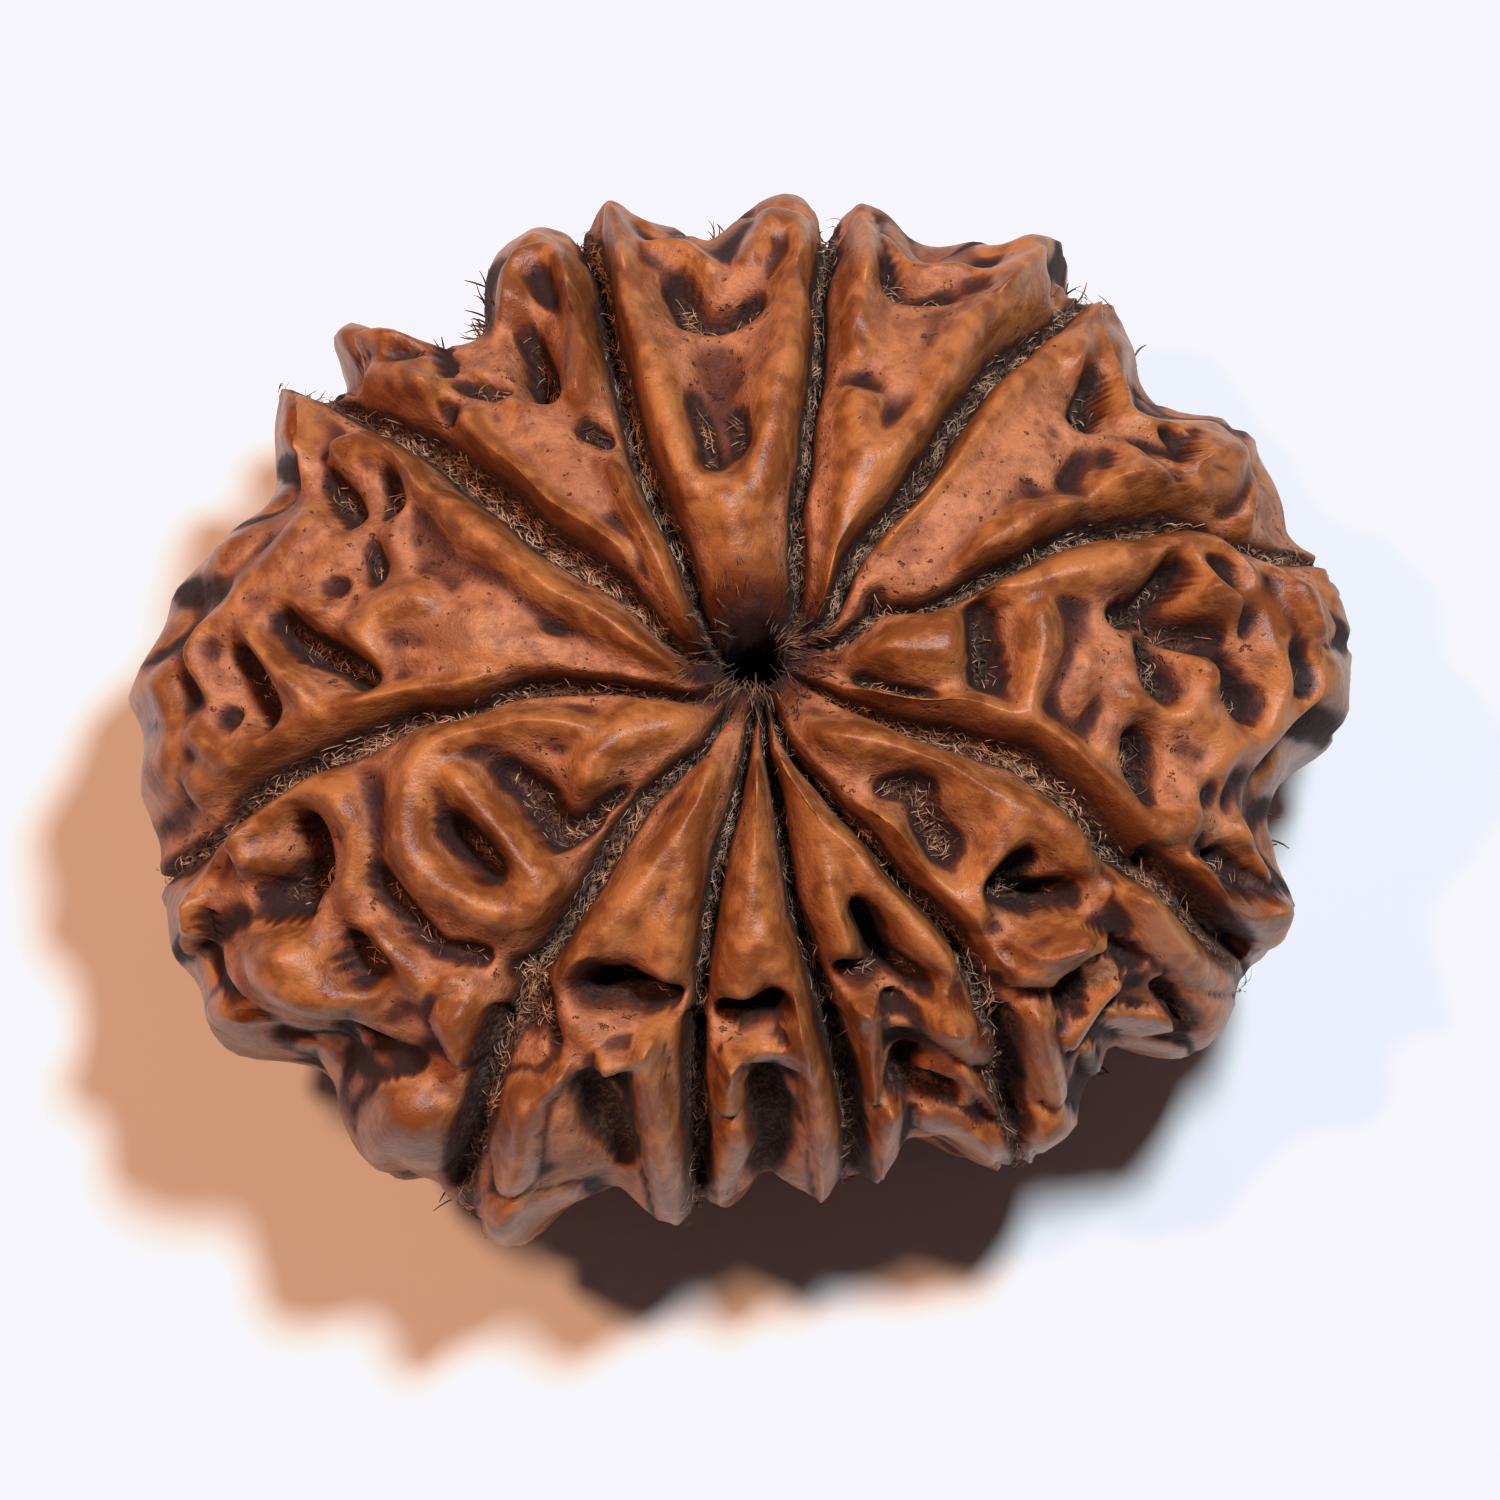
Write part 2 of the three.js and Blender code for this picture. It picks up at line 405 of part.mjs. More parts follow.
function envelopeNormal(azimuth, polar) {
  const side = Math.max(0, Math.sin(polar)) ** (2 - 2 / ROUNDNESS) / outlineRadius(azimuth);
  const cosine = Math.cos(polar);
  const up = (Math.sign(cosine) * Math.abs(cosine) ** (2 - 2 / ROUNDNESS)) / HALF_HEIGHT;
  return new THREE.Vector3(side * Math.cos(azimuth), side * Math.sin(azimuth), up).normalize();
}

// Below zero inside the envelope, above zero outside it
function envelopeField(point) {
  const out = Math.hypot(point.x, point.y) / outlineRadius(Math.atan2(point.y, point.x));
  return out ** ROUNDNESS + Math.abs(point.z / HALF_HEIGHT) ** ROUNDNESS - 1;
}

// Where the sight line of a photo pixel meets the envelope, or passes nearest to it
function sighted(x, y) {
  const [sine, cosine] = [Math.sin(CAMERA_ELEVATION), Math.cos(CAMERA_ELEVATION)];
  const eye = new THREE.Vector3(0, -cosine, sine).multiplyScalar(CAMERA_DISTANCE);
  const right = (x - HOLE_AXIS_PIXEL[0]) / PIXELS_PER_MM;
  const up = (HOLE_AXIS_PIXEL[1] - y) / PIXELS_PER_MM;
  const sight = new THREE.Vector3(right, up * sine, up * cosine).sub(eye).normalize();
  const at = (distance) => eye.clone().addScaledVector(sight, distance);
  const margin = 14;
  const step = 0.25;
  let nearest = CAMERA_DISTANCE - margin;
  let entry = null;
  for (let distance = nearest; distance <= CAMERA_DISTANCE + margin; distance += step) {
    const field = envelopeField(at(distance));
    if (field < envelopeField(at(nearest))) {
      nearest = distance;
    }
    if (field < 0 && entry === null) {
      entry = distance;
    }
  }
  let found = nearest;
  if (entry !== null) {
    let [outside, inside] = [entry - step, entry];
    for (let halving = 0; halving < 20; halving += 1) {
      const middle = (outside + inside) / 2;
      if (envelopeField(at(middle)) < 0) {
        inside = middle;
      } else {
        outside = middle;
      }
    }
    found = inside;
  }
  const point = at(found);
  const azimuth = Math.atan2(point.y, point.x);
  const outward = (Math.hypot(point.x, point.y) / outlineRadius(azimuth)) ** (ROUNDNESS / 2);
  const upward = Math.sign(point.z) * Math.abs(point.z / HALF_HEIGHT) ** (ROUNDNESS / 2);
  return { azimuth, polar: Math.atan2(outward, upward) };
}

function sightedRow([x, y, halfWidth]) {
  return { ...sighted(x, y), width: halfWidth / PIXELS_PER_MM };
}

// Each groove's traced line, sorted from the hole outwards, with its azimuths unwound
function tracedGroove(name) {
  const rows = GROOVE_LINES[name].map(sightedRow).sort((a, b) => a.polar - b.polar);
  for (let k = 1; k < rows.length; k += 1) {
    rows[k].azimuth = rows[k - 1].azimuth + turnBetween(rows[k - 1].azimuth, rows[k].azimuth);
  }
  return rows;
}

const TRACED = Object.fromEntries(GROOVES.map((name) => [name, tracedGroove(name)]));

// A groove's azimuth at a polar angle: as traced above, and with a slow sway underneath
function grooveAzimuth(name, polar) {
  const rows = TRACED[name];
  const end = rows[rows.length - 1];
  if (polar >= end.polar) {
    const below = clamp((polar - end.polar) / (Math.PI - end.polar), 0, 1);
    const sway = Math.sin(2.3 * below * Math.PI + 1.7 * GROOVES.indexOf(name));
    return end.azimuth + 0.1 * sway * below * (1 - 0.5 * below);
  }
  const after = rows.findIndex((row) => row.polar > polar);
  if (after === 0) {
    return rows[0].azimuth;
  }
  const [a, b] = [rows[after - 1], rows[after]];
  return mix(a.azimuth, b.azimuth, (polar - a.polar) / (b.polar - a.polar));
}

function faceSpan(face, polar) {
  return turnBetween(grooveAzimuth(face.from, polar), grooveAzimuth(face.to, polar));
}

// A stroke of relief: its points on the envelope with their half widths, and its height or depth
function stroke(kind, height, rows) {
  const points = rows.map((row) => envelopePoint(row.azimuth, row.polar));
  const widths = rows.map((row) => row.width);
  const bounds = new THREE.Box3().setFromPoints(points).expandByScalar(1.5 * Math.max(...widths));
  return { kind, height, points, widths, bounds };
}

function grooveStroke(name) {
  const rows = TRACED[name];
  const [start, end] = [0.07, Math.PI - 0.07];
  const first = { ...rows[0], polar: start, width: 0.12 };
  const steps = 14;
  const under = [];
  const from = rows[rows.length - 1].polar + 0.12;
  for (let k = 0; k < steps; k += 1) {
    const polar = mix(from, end, k / (steps - 1));
    const narrowing = 1 - 0.55 * Math.max(0, (polar - 1.9) / 1.2);
    under.push({ azimuth: grooveAzimuth(name, polar), polar, width: 0.25 * narrowing });
  }
  return stroke("groove", 1, [first, ...rows, ...under]);
}

// A traced ridge that reaches the rim goes on over it
function carriedOver(rows) {
  const rim = 1.22;
  const drop = 0.28;
  const result = [...rows];
  const [first, second] = rows;
  const last = rows[rows.length - 1];
  const beforeLast = rows[rows.length - 2];
  if (first.polar > rim && !(second && second.polar > first.polar + 0.02)) {
    result.unshift({ azimuth: first.azimuth, polar: first.polar + drop, width: first.width * 1.1 });
  }
  if (last.polar > rim && !(beforeLast && beforeLast.polar > last.polar + 0.02)) {
    result.push({ azimuth: last.azimuth, polar: last.polar + drop, width: last.width * 1.1 });
  }
  return result;
}

// The unseen underside repeats the traced relief, upside down and five faces further round
function mirrored(rows, face, other) {
  return rows.map((row) => {
    const turned = turnBetween(grooveAzimuth(face.from, row.polar), row.azimuth);
    const across = turned / faceSpan(face, row.polar);
    const polar = clamp(Math.PI - 0.96 * row.polar, 1.66, Math.PI - 0.1);
    const span = faceSpan(other, polar);
    const stretch = Math.abs(span) / Math.max(Math.abs(faceSpan(face, row.polar)), 0.05);
    return {
      azimuth: grooveAzimuth(other.from, polar) + clamp(across, 0.06, 0.94) * span,
      polar,
      width: row.width * clamp(stretch, 0.7, 1.25),
    };
  });
}

function faceStrokes(face, index) {
  const other = FACES[(index + 5) % FACES.length];
  const result = [];
  for (const kind of ["ridges", "pits"]) {
    for (const [height, line] of face[kind]) {
      const traced = line.map(sightedRow);
      const raised = kind === "ridges";
      const rows = traced.map((row) => ({ ...row, width: row.width * (raised ? TRACED_WIDENING : 1) }));
      result.push(stroke(kind, height, raised ? carriedOver(rows) : rows));
      result.push(stroke(kind, height, mirrored(rows, face, other)));
    }
  }
  return result;
}

function sideRidge(index) {
  const [degrees, width] = SIDE_LOBES[index];
  const azimuth = THREE.MathUtils.degToRad(degrees);
  const sway = [0, 1, 2, 3].map((k) => 0.12 * (chance(index * 7 + k) - 0.5));
  return [
    { azimuth: azimuth + 0.5 * sway[0], polar: 1.25 + 0.2 * chance(index), width: 0.85 * width },
    { azimuth, polar: 1.5, width },
    { azimuth: azimuth + sway[2], polar: 1.72, width: 0.85 * width },
    { azimuth: azimuth + 1.3 * sway[3], polar: 1.9 + 0.3 * chance(index + 50), width: 0.8 * width },
  ];
}

// Upright ridges round the widest part, with pits and cross links between them
function sideStrokes() {
  const result = [];
  SIDE_LOBES.forEach((_, index) => {
    const rows = sideRidge(index);
    result.push(stroke("ridges", 0.7 + 0.25 * chance(index + 9), rows));
    if (index === 0) {
      return;
    }
    const before = sideRidge(index - 1);
    const between = (before[2].azimuth + rows[2].azimuth) / 2;
    const pitPolar = 1.62 + 0.3 * chance(index + 21);
    result.push(stroke("pits", 0.5 + 0.9 * chance(index + 33), [
      { azimuth: between, polar: pitPolar - 0.05, width: 0.2 },
      { azimuth: between + 0.02, polar: pitPolar + 0.05, width: 0.3 },
    ]));
    if (chance(index + 77) < 0.7) {
      const link = 1.58 + 0.5 * chance(index + 91);
      const slant = 0.2 * (chance(index + 15) - 0.5);
      result.push(stroke("ridges", 0.75, [
        { azimuth: before[1].azimuth, polar: link, width: 0.38 },
        { azimuth: rows[1].azimuth, polar: link + slant, width: 0.38 },
      ]));
    }
  });
  return result;
}

const STROKES = [...GROOVES.map(grooveStroke), ...FACES.flatMap(faceStrokes), ...sideStrokes()];

// Distance from a place to a stroke: in mm, and in half widths of the stroke
function distanceTo({ points, widths }, place) {
  let nearest = place.distanceTo(points[0]);
  let relative = nearest / widths[0];
  const line = new THREE.Line3();
  const foot = new THREE.Vector3();
  for (let k = 0; k + 1 < points.length; k += 1) {
    line.set(points[k], points[k + 1]);
    const along = line.closestPointToPointParameter(place, true);
    const distance = line.at(along, foot).distanceTo(place);
    nearest = Math.min(nearest, distance);
    relative = Math.min(relative, distance / mix(widths[k], widths[k + 1], along));
  }
  return { nearest, relative };
}

// The rounded section of a ridge, 1 on its middle line and 0 at 1.5 half widths from it
function section(relative) {
  return 0.5 + 0.5 * Math.cos(Math.PI * Math.min(1, (relative / 1.5) ** 1.55));
}

// Slow unevenness of a grown surface, about -1 to 1
function ripple({ x, y, z }) {
  const a = x + 0.55 * Math.sin(1.3 * y + 0.7 * z);
  const b = y + 0.55 * Math.sin(1.1 * z + 1.6 * x + 1);
  const c = z + 0.55 * Math.sin(1.5 * x + 0.9 * y + 2);
  const slow = Math.sin(1.9 * a + 0.4) * Math.cos(2.1 * b) + Math.sin(2 * b + 1.3) * Math.cos(1.8 * c);
  return 0.33 * slow;
}

// Height of the bead's surface over the envelope at one place, in mm
function reliefAt(azimuth, polar) {
  const place = envelopePoint(azimuth, polar);
  let [ridgePower, pit, pitMask, groove, toGroove] = [0, 0, 0, 0, 9];
  for (const line of STROKES) {
    const isGroove = line.kind === "groove";
    if (!isGroove && !line.bounds.containsPoint(place)) {
      continue;
    }
    const { nearest, relative } = distanceTo(line, place);
    if (isGroove) {
      groove = Math.max(groove, Math.min(1, 1.15 * section(0.9 * relative)));
      toGroove = Math.min(toGroove, nearest);
    } else if (line.kind === "ridges") {
      ridgePower += (line.height * section(relative)) ** RIDGE_BLEND;
    } else {
      pit = Math.max(pit, line.height * section(relative));
      pitMask = Math.max(pitMask, section(relative));
    }
  }
  const ridge = ridgePower ** (1 / RIDGE_BLEND) * (1 - 0.97 * groove) * (1 - 0.85 * pitMask);
  const out = Math.hypot(place.x, place.y);
  const grooveDepth = GROOVE_DEPTH * groove * (1 - 0.6 * Math.exp(-((out / 1.6) ** 2)));
  const funnel = 1.5 * Math.exp(-((out / 1.45) ** 2)) + 0.25 * Math.exp(-((out / 3.2) ** 2));
  const side = Math.min(1, out / 11) ** 3;
  const shoulder = (0.12 + 0.4 * side) * Math.exp(-((toGroove / (0.5 + 0.35 * side)) ** 2)) * (1 - groove);
  const pillow = 0.12 * Math.min(1, toGroove / 1.4);
  const height = ridge + pillow + RIPPLE_HEIGHT * ripple(place) - FLOOR_DEPTH;
  return height - pit * (1 - groove) - grooveDepth - shoulder - funnel;
}

// The mean height round a place, so that the mesh doesn't catch single pits by luck
function softRelief(azimuth, polar) {
  const turn = SAMPLE_SPREAD / Math.max(1, MEAN_RADIUS * Math.sin(polar));
  const tilt = SAMPLE_SPREAD / MEAN_RADIUS;
  const around = reliefAt(azimuth + turn, polar) + reliefAt(azimuth - turn, polar);
  const along = reliefAt(azimuth, polar + tilt) + reliefAt(azimuth, polar - tilt);
  return (2 * reliefAt(azimuth, polar) + around + along) / 6;
}

function surfacePoint(azimuth, polar) {
  const place = envelopePoint(azimuth, polar);
  place.addScaledVector(envelopeNormal(azimuth, polar), softRelief(azimuth, polar));
  const out = Math.hypot(place.x, place.y);
  if (out < HOLE_RADIUS) {
    place.set(HOLE_RADIUS * Math.cos(azimuth), HOLE_RADIUS * Math.sin(azimuth), place.z);
  }
  place.z = Math.max(place.z, WORN_FOOT - HALF_HEIGHT);
  return place;
}

// Columns stand closer together at the grooves
function columnAcross(step, columns) {
  const t = step / columns;
  return t - 0.09 * Math.sin(TURN * t);
}

function ringPoints(polar, columnsInFace) {
  const result = [];
  for (const face of FACES) {
    for (let step = 0; step < columnsInFace; step += 1) {
      const across = columnAcross(step, columnsInFace);
      const azimuth = grooveAzimuth(face.from, polar) + across * faceSpan(face, polar);
      result.push(surfacePoint(azimuth, polar));
    }
  }
  return result;
}

// Rings from the top rim of the hole to the bottom one, with fewer columns near the hole
function rings() {
  const rim = Math.asin((HOLE_RADIUS / MEAN_RADIUS) ** (ROUNDNESS / 2));
  const result = [];
  for (let k = 0; k < RINGS; k += 1) {
    const polar = mix(rim, Math.PI - rim, k / (RINGS - 1));
    const fromEnd = Math.min(k, RINGS - 1 - k);
    const columns = fromEnd < 2 ? COLUMNS_IN_FACE / 4 : fromEnd < 5 ? COLUMNS_IN_FACE / 2 : COLUMNS_IN_FACE;
    result.push(ringPoints(polar, columns));
  }
  return result;
}

// Triangles between two rings, of which one may have twice the columns of the other
function joinRings(indices, upper, upperStart, lower, lowerStart) {
  const few = Math.min(upper, lower);
  const u = (k) => upperStart + (k % upper);
  const l = (k) => lowerStart + (k % lower);
  for (let k = 0; k < few; k += 1) {
    if (upper === lower) {
      indices.push(u(k), u(k + 1), l(k), l(k), u(k + 1), l(k + 1));
    } else if (upper < lower) {
      indices.push(u(k), l(2 * k + 1), l(2 * k), u(k), u(k + 1), l(2 * k + 1));
      indices.push(u(k + 1), l(2 * k + 2), l(2 * k + 1));
    } else {
      indices.push(u(2 * k), u(2 * k + 1), l(k), l(k), u(2 * k + 1), l(k + 1));
      indices.push(u(2 * k + 1), u(2 * k + 2), l(k + 1));
    }
  }
}

function beadGeometry() {
  const all = rings();
  const starts = [];
  const points = [];
  for (const ring of all) {
    starts.push(points.length);
    points.push(...ring);
  }
  const indices = [];
  for (let k = 0; k + 1 < all.length; k += 1) {
    joinRings(indices, all[k].length, starts[k], all[k + 1].length, starts[k + 1]);
  }
  const last = all.length - 1;
  joinRings(indices, all[last].length, starts[last], all[0].length, starts[0]);
  const geometry = new THREE.BufferGeometry().setFromPoints(points);
  geometry.setIndex(indices);
  geometry.computeBoundingBox();
  const middle = geometry.boundingBox.getCenter(new THREE.Vector3());
  geometry.translate(-middle.x, -middle.y, -geometry.boundingBox.min.z);
  geometry.computeVertexNormals();
  return geometry;
}

function rudrakshaBead() {
  const material = new THREE.MeshStandardMaterial({ color: 0xa9663a, roughness: 0.45, metalness: 0 });
  const bead = new THREE.Mesh(beadGeometry(), material);
  bead.name = "rudraksha_bead";
  return bead;
}

const object = new THREE.Group();
object.add(rudrakshaBead());

export default object;
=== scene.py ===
"""Looks of an eleven mukhi rudraksha bead: glossy relief with stain and painted shade in its hollows, and
dried fibres in its grooves.
"""
import math

import bpy
import numpy as np
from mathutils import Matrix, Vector


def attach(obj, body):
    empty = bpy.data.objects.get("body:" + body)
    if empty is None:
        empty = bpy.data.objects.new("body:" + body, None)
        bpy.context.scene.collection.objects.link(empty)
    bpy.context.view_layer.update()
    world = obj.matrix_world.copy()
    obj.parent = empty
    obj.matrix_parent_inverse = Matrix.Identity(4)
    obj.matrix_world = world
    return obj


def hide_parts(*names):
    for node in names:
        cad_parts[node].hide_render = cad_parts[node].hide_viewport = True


MM = 0.001

# How the photograph was taken: its pixels are turned into places on the bead with these
PHOTO_SIDE = 1500
HOLE_AXIS_PIXEL = (755.0, 716.0)
PIXELS_PER_MM = 45.6
CAMERA_ELEVATION = math.radians(78.5)
CAMERA_DISTANCE = 260.0
SIGHT_REACH = 14
SIGHT_STEP = 0.25

# The bead over the tops of its ridges, in mm, and where its hole axis and middle height stand in the frame
HALF_HEIGHT = 8.4
ROUNDNESS = 2.35
MEAN_RADIUS = 12.0
HOLE_RADIUS = 0.7
HOLE_AXIS = (0.211, 0.059)
WORN_FOOT = 1.05
MIDDLE_HEIGHT = HALF_HEIGHT - WORN_FOOT

# Its relief, in mm
FLOOR_DEPTH = 0.75
GROOVE_DEPTH = 1.35
SKIRT = 2.6
SQUEEZE_START = 0.965
RIM_BOLDNESS = 0.25
RIM_POLAR = 1.38
RIM_REACH = 0.36
RIM_ROUNDING = 4
WANDER = 0.10
WANDER_SIZE = 1.1
RIDGE_BLEND = 5.0
TRACED_WIDENING = 1.05
RIPPLE_HEIGHT = 0.13
ROUGH_HEIGHT = 0.07
RIDGE_TRIM = 0.13
# Pit depth in mm at which the pit's stain and painted shade are full
STAIN_AND_SHADE_DEPTH = 0.7
PILLOW_HEIGHT = 0.12
PILLOW_REACH = 1.4

# How the traced relief is laid over the unseen underside
UNDERSIDE_SPREAD = 0.96
UNDERSIDE_POLARS = (1.66, math.pi - 0.1)
INSIDE_FACE = (0.06, 0.94)
STRETCH_LIMITS = (0.7, 1.25)

# The sections of strokes: where they end, in half widths, and how steep they are
HOLLOW_EDGE = 1.45
HOLLOW_STEEPNESS = 1.7
RIDGE_EDGE = 1.5
RIDGE_STEEPNESS = 1.5
SKIRT_SHARE = 0.22
DOME_STEEPNESS = 0.85

# How the surface dips to the thread hole: depth and reach in mm of its mouth and of the wide bowl round it
HOLE_MOUTH = (1.5, 1.45)
HOLE_BOWL = (0.25, 3.2)
GROOVE_FADE_AT_HOLE = (0.6, 1.6)
# Reach in mm of the stain and painted shade round the hole
STAIN_AND_SHADE_ROUND_HOLE = 1.5

# How the rim is brought in between the outline's lobes. Its band is in polar angles: where it starts, how
# long it fades in, where it ends and how long it fades out.
RIM_BAND = (0.95, 0.35, 2.3, 0.4)
NOTCH_SHARE = 0.8

# How the rim is then fitted to the traced outline
FIT_ROUNDS = 2
FIT_REACH = 0.45
FIT_LIMITS = (0.86, 1.12)
SILHOUETTE_LEAN = 0.2
RIM_RINGS = 8
KEPT_AT_GROOVES = 0.75

# The knobs set where the camera sees them: how far they come towards it and outward
KNOB_HEIGHT = 1.15
KNOB_LIFT = 0.62
KNOB_LEAN = 0.42
WALL_SMOOTHING_ROUNDS = 70
WALL_SMOOTHNESS = 0.93
WALL_END_FADE = 6
WALL_START_FADE = 0.09
FACING_CAMERA = (-0.25, 0.05)

# Painted shade in what lies under its surroundings: rounds of smoothing, depth in mm at full strength, and
# weight
FINE_CREASE_SHADE = (6, 0.10, 0.55)
WIDE_HOLLOW_SHADE = (40, 0.45, 0.65)

# The bead's mesh
COLUMNS = 556
UPPER_RINGS = 122
LOWER_RINGS = 54
EVEN_SHARE = 0.35
CROWDING_AT_GROOVES = 0.07

# Dried fibres: the mask they follow, how many, from what value of it on, and how far their angles spread
LOOSE_FIBRES = (("groove", 5200, 0.55, 0.6), ("tangle", 1500, 0.6, 3.0))
HOLE_FIBRES = 420
RANDOM_SEED = 11
STRAND_STEPS = 4
STRAND_SIDES = 3
LOOSE_LIFTS = (0.01, 0.24)
HOLE_RING = (0.55, 1.9)
FIBRE_OFFSET = 0.02

# Shapes of fibres, each from a least to a greatest value: length, radius, bend and sideways draw
LOOSE_SHAPE = ((0.15, 0.60), (0.008, 0.019), (0.0, 0.25), (-0.8, 0.8))
HOLE_SHAPE = ((0.2, 0.7), (0.012, 0.026), (0.0, 0.1), (-0.4, 0.4))
WISP_SHAPE = ((0.25, 0.75), (0.014, 0.032), (-0.2, 0.3), (-0.8, 0.8))

# Where wisps of old fibre stand out: [x pixel, y pixel, how many]
WISPS = [
    (488, 300, 14), (480, 330, 18), (497, 345, 10), (440, 355, 7), (1066, 302, 8), (718, 240, 6),
    (590, 258, 8), (828, 250, 5), (1140, 372, 4), (1262, 826, 5), (1105, 1062, 4), (460, 1190, 4),
]
WISP_ROOTS = 60

# The view: how bright the card may get in red, green and blue, and where the curve leaves the straight line
CARD_WHITE = (0.930, 0.913, 0.975)
STRAIGHT_UP_TO = 0.80

# The lights: azimuth and elevation in degrees, distance and size in metres, power in watts, and colour.
# Azimuth is measured from the right towards the photograph's top.
COOL_KEY = (37, 74.5, 0.17, 0.024, 0.382, (0.81, 0.915, 1.0))
WARM_LAMP = (173, 68.0, 0.28, 0.034, 0.60, (1.0, 0.50, 0.28))
SURROUNDINGS = (1.0, 0.78, 0.86, 1.0)
SURROUNDINGS_STRENGTH = 0.05
TABLE_HALF_SIDE = 3.0

# Colours, as linear red, green and blue
RIDGE_LIGHT = (0.345, 0.121, 0.035)
RIDGE_DARK = (0.170, 0.046, 0.011)
FLOOR_PINK = (0.385, 0.145, 0.064)
FLOOR_BROWN = (0.215, 0.066, 0.024)
PORE_BROWN = (0.07, 0.018, 0.009)
# Near-black, then brown at its edges: stain and painted shade in the grooves, pits, creases and round the
# hole
STAIN_AND_SHADE = (0.020, 0.0046, 0.0033)
CREASE_STAIN_AND_SHADE = (0.095, 0.020, 0.006)
FIBRE_DUST = (0.26, 0.130, 0.070)
FIBRE_DARK = (0.075, 0.028, 0.013)
FIBRE_TAN = (0.50, 0.275, 0.165)
OLD_FIBRE_DARK = (0.020, 0.009, 0.006)
OLD_FIBRE_BROWN = (0.16, 0.075, 0.035)
CARD_DARKER = (0.79, 0.79, 0.79)
CARD_LIGHTER = (0.81, 0.81, 0.81)

# The outline, corner by corner, clockwise from the groove K: [x pixel, y pixel]
OUTLINE = [
    (590, 245), (598, 205), (617, 196), (640, 217), (680, 229), (707, 248), (735, 225), (758, 200),
    (785, 189), (812, 198), (821, 235), (826, 248), (838, 225), (848, 200), (858, 197), (885, 212),
    (908, 242), (925, 246), (975, 242), (995, 246), (1030, 228), (1060, 240), (1074, 265), (1063, 298),
    (1066, 308), (1078, 303), (1100, 291), (1118, 318), (1138, 350), (1140, 365), (1138, 380),
    (1157, 407), (1183, 414), (1200, 411), (1232, 420), (1250, 430), (1262, 462), (1275, 480),
    (1283, 520), (1282, 535), (1300, 552), (1318, 558), (1330, 580), (1345, 600), (1353, 650),
    (1350, 715), (1325, 758), (1300, 770), (1278, 785), (1262, 818), (1275, 840), (1277, 862),
    (1296, 905), (1293, 935), (1255, 966), (1240, 970), (1236, 1005), (1222, 1040), (1200, 1052),
    (1160, 1066), (1145, 1068), (1120, 1045), (1100, 1038), (1105, 1070), (1085, 1078), (1077, 1100),
    (1082, 1115), (1072, 1140), (1032, 1160), (1018, 1171), (985, 1168), (955, 1160), (905, 1130),
    (890, 1180), (870, 1194), (858, 1170), (838, 1185), (825, 1208), (800, 1190), (765, 1165),
    (745, 1200), (722, 1214), (705, 1190), (697, 1190), (692, 1228), (680, 1234), (655, 1218),
    (612, 1175), (590, 1180), (583, 1222), (540, 1243), (510, 1249), (480, 1237), (465, 1195),
    (458, 1180), (455, 1170), (445, 1205), (430, 1214), (400, 1185), (360, 1155), (345, 1130),
    (335, 1075), (290, 1062), (235, 1060), (207, 1030), (200, 990), (168, 945), (163, 870), (165, 842),
    (150, 820), (137, 785), (145, 745), (140, 722), (123, 703), (127, 692), (143, 665), (165, 622),
    (175, 592), (205, 555), (262, 510), (279, 485), (271, 430), (280, 390), (295, 381), (322, 395),
    (345, 407), (350, 400), (340, 370), (325, 340), (345, 322), (380, 313), (405, 322), (425, 350),
    (437, 364), (446, 358), (470, 349), (490, 345), (484, 290), (495, 250), (530, 228), (550, 223),
    (572, 235),
]

# The side's upright ridges, at the lobes of the outline: direction in degrees, half width in mm
SIDE_LOBES = [
    (2, 0.75), (10, 0.6), (26, 0.75), (33, 0.5), (44, 0.65), (51, 0.5), (60, 0.7), (68, 0.5), (80, 0.6),
    (87, 0.7), (101, 0.45), (104, 0.5), (113, 0.55), (118, 0.6), (128, 0.5), (134, 0.6), (139, 0.6),
    (149, 0.75), (157, 0.6), (165, 0.65), (172, 0.6), (179, 0.6), (186, 0.75), (200, 0.7), (207, 0.6),
    (213, 0.75), (222, 0.6), (229, 0.7), (234, 0.6), (242, 0.7), (248, 0.6), (257, 0.6), (266, 0.55),
    (272, 0.5), (277, 0.55), (285, 0.55), (291, 0.5), (297, 0.55), (303, 0.5), (309, 0.6), (316, 0.6),
    (323, 0.7), (329, 0.55), (336, 0.7), (344, 0.7), (353, 0.7),
]
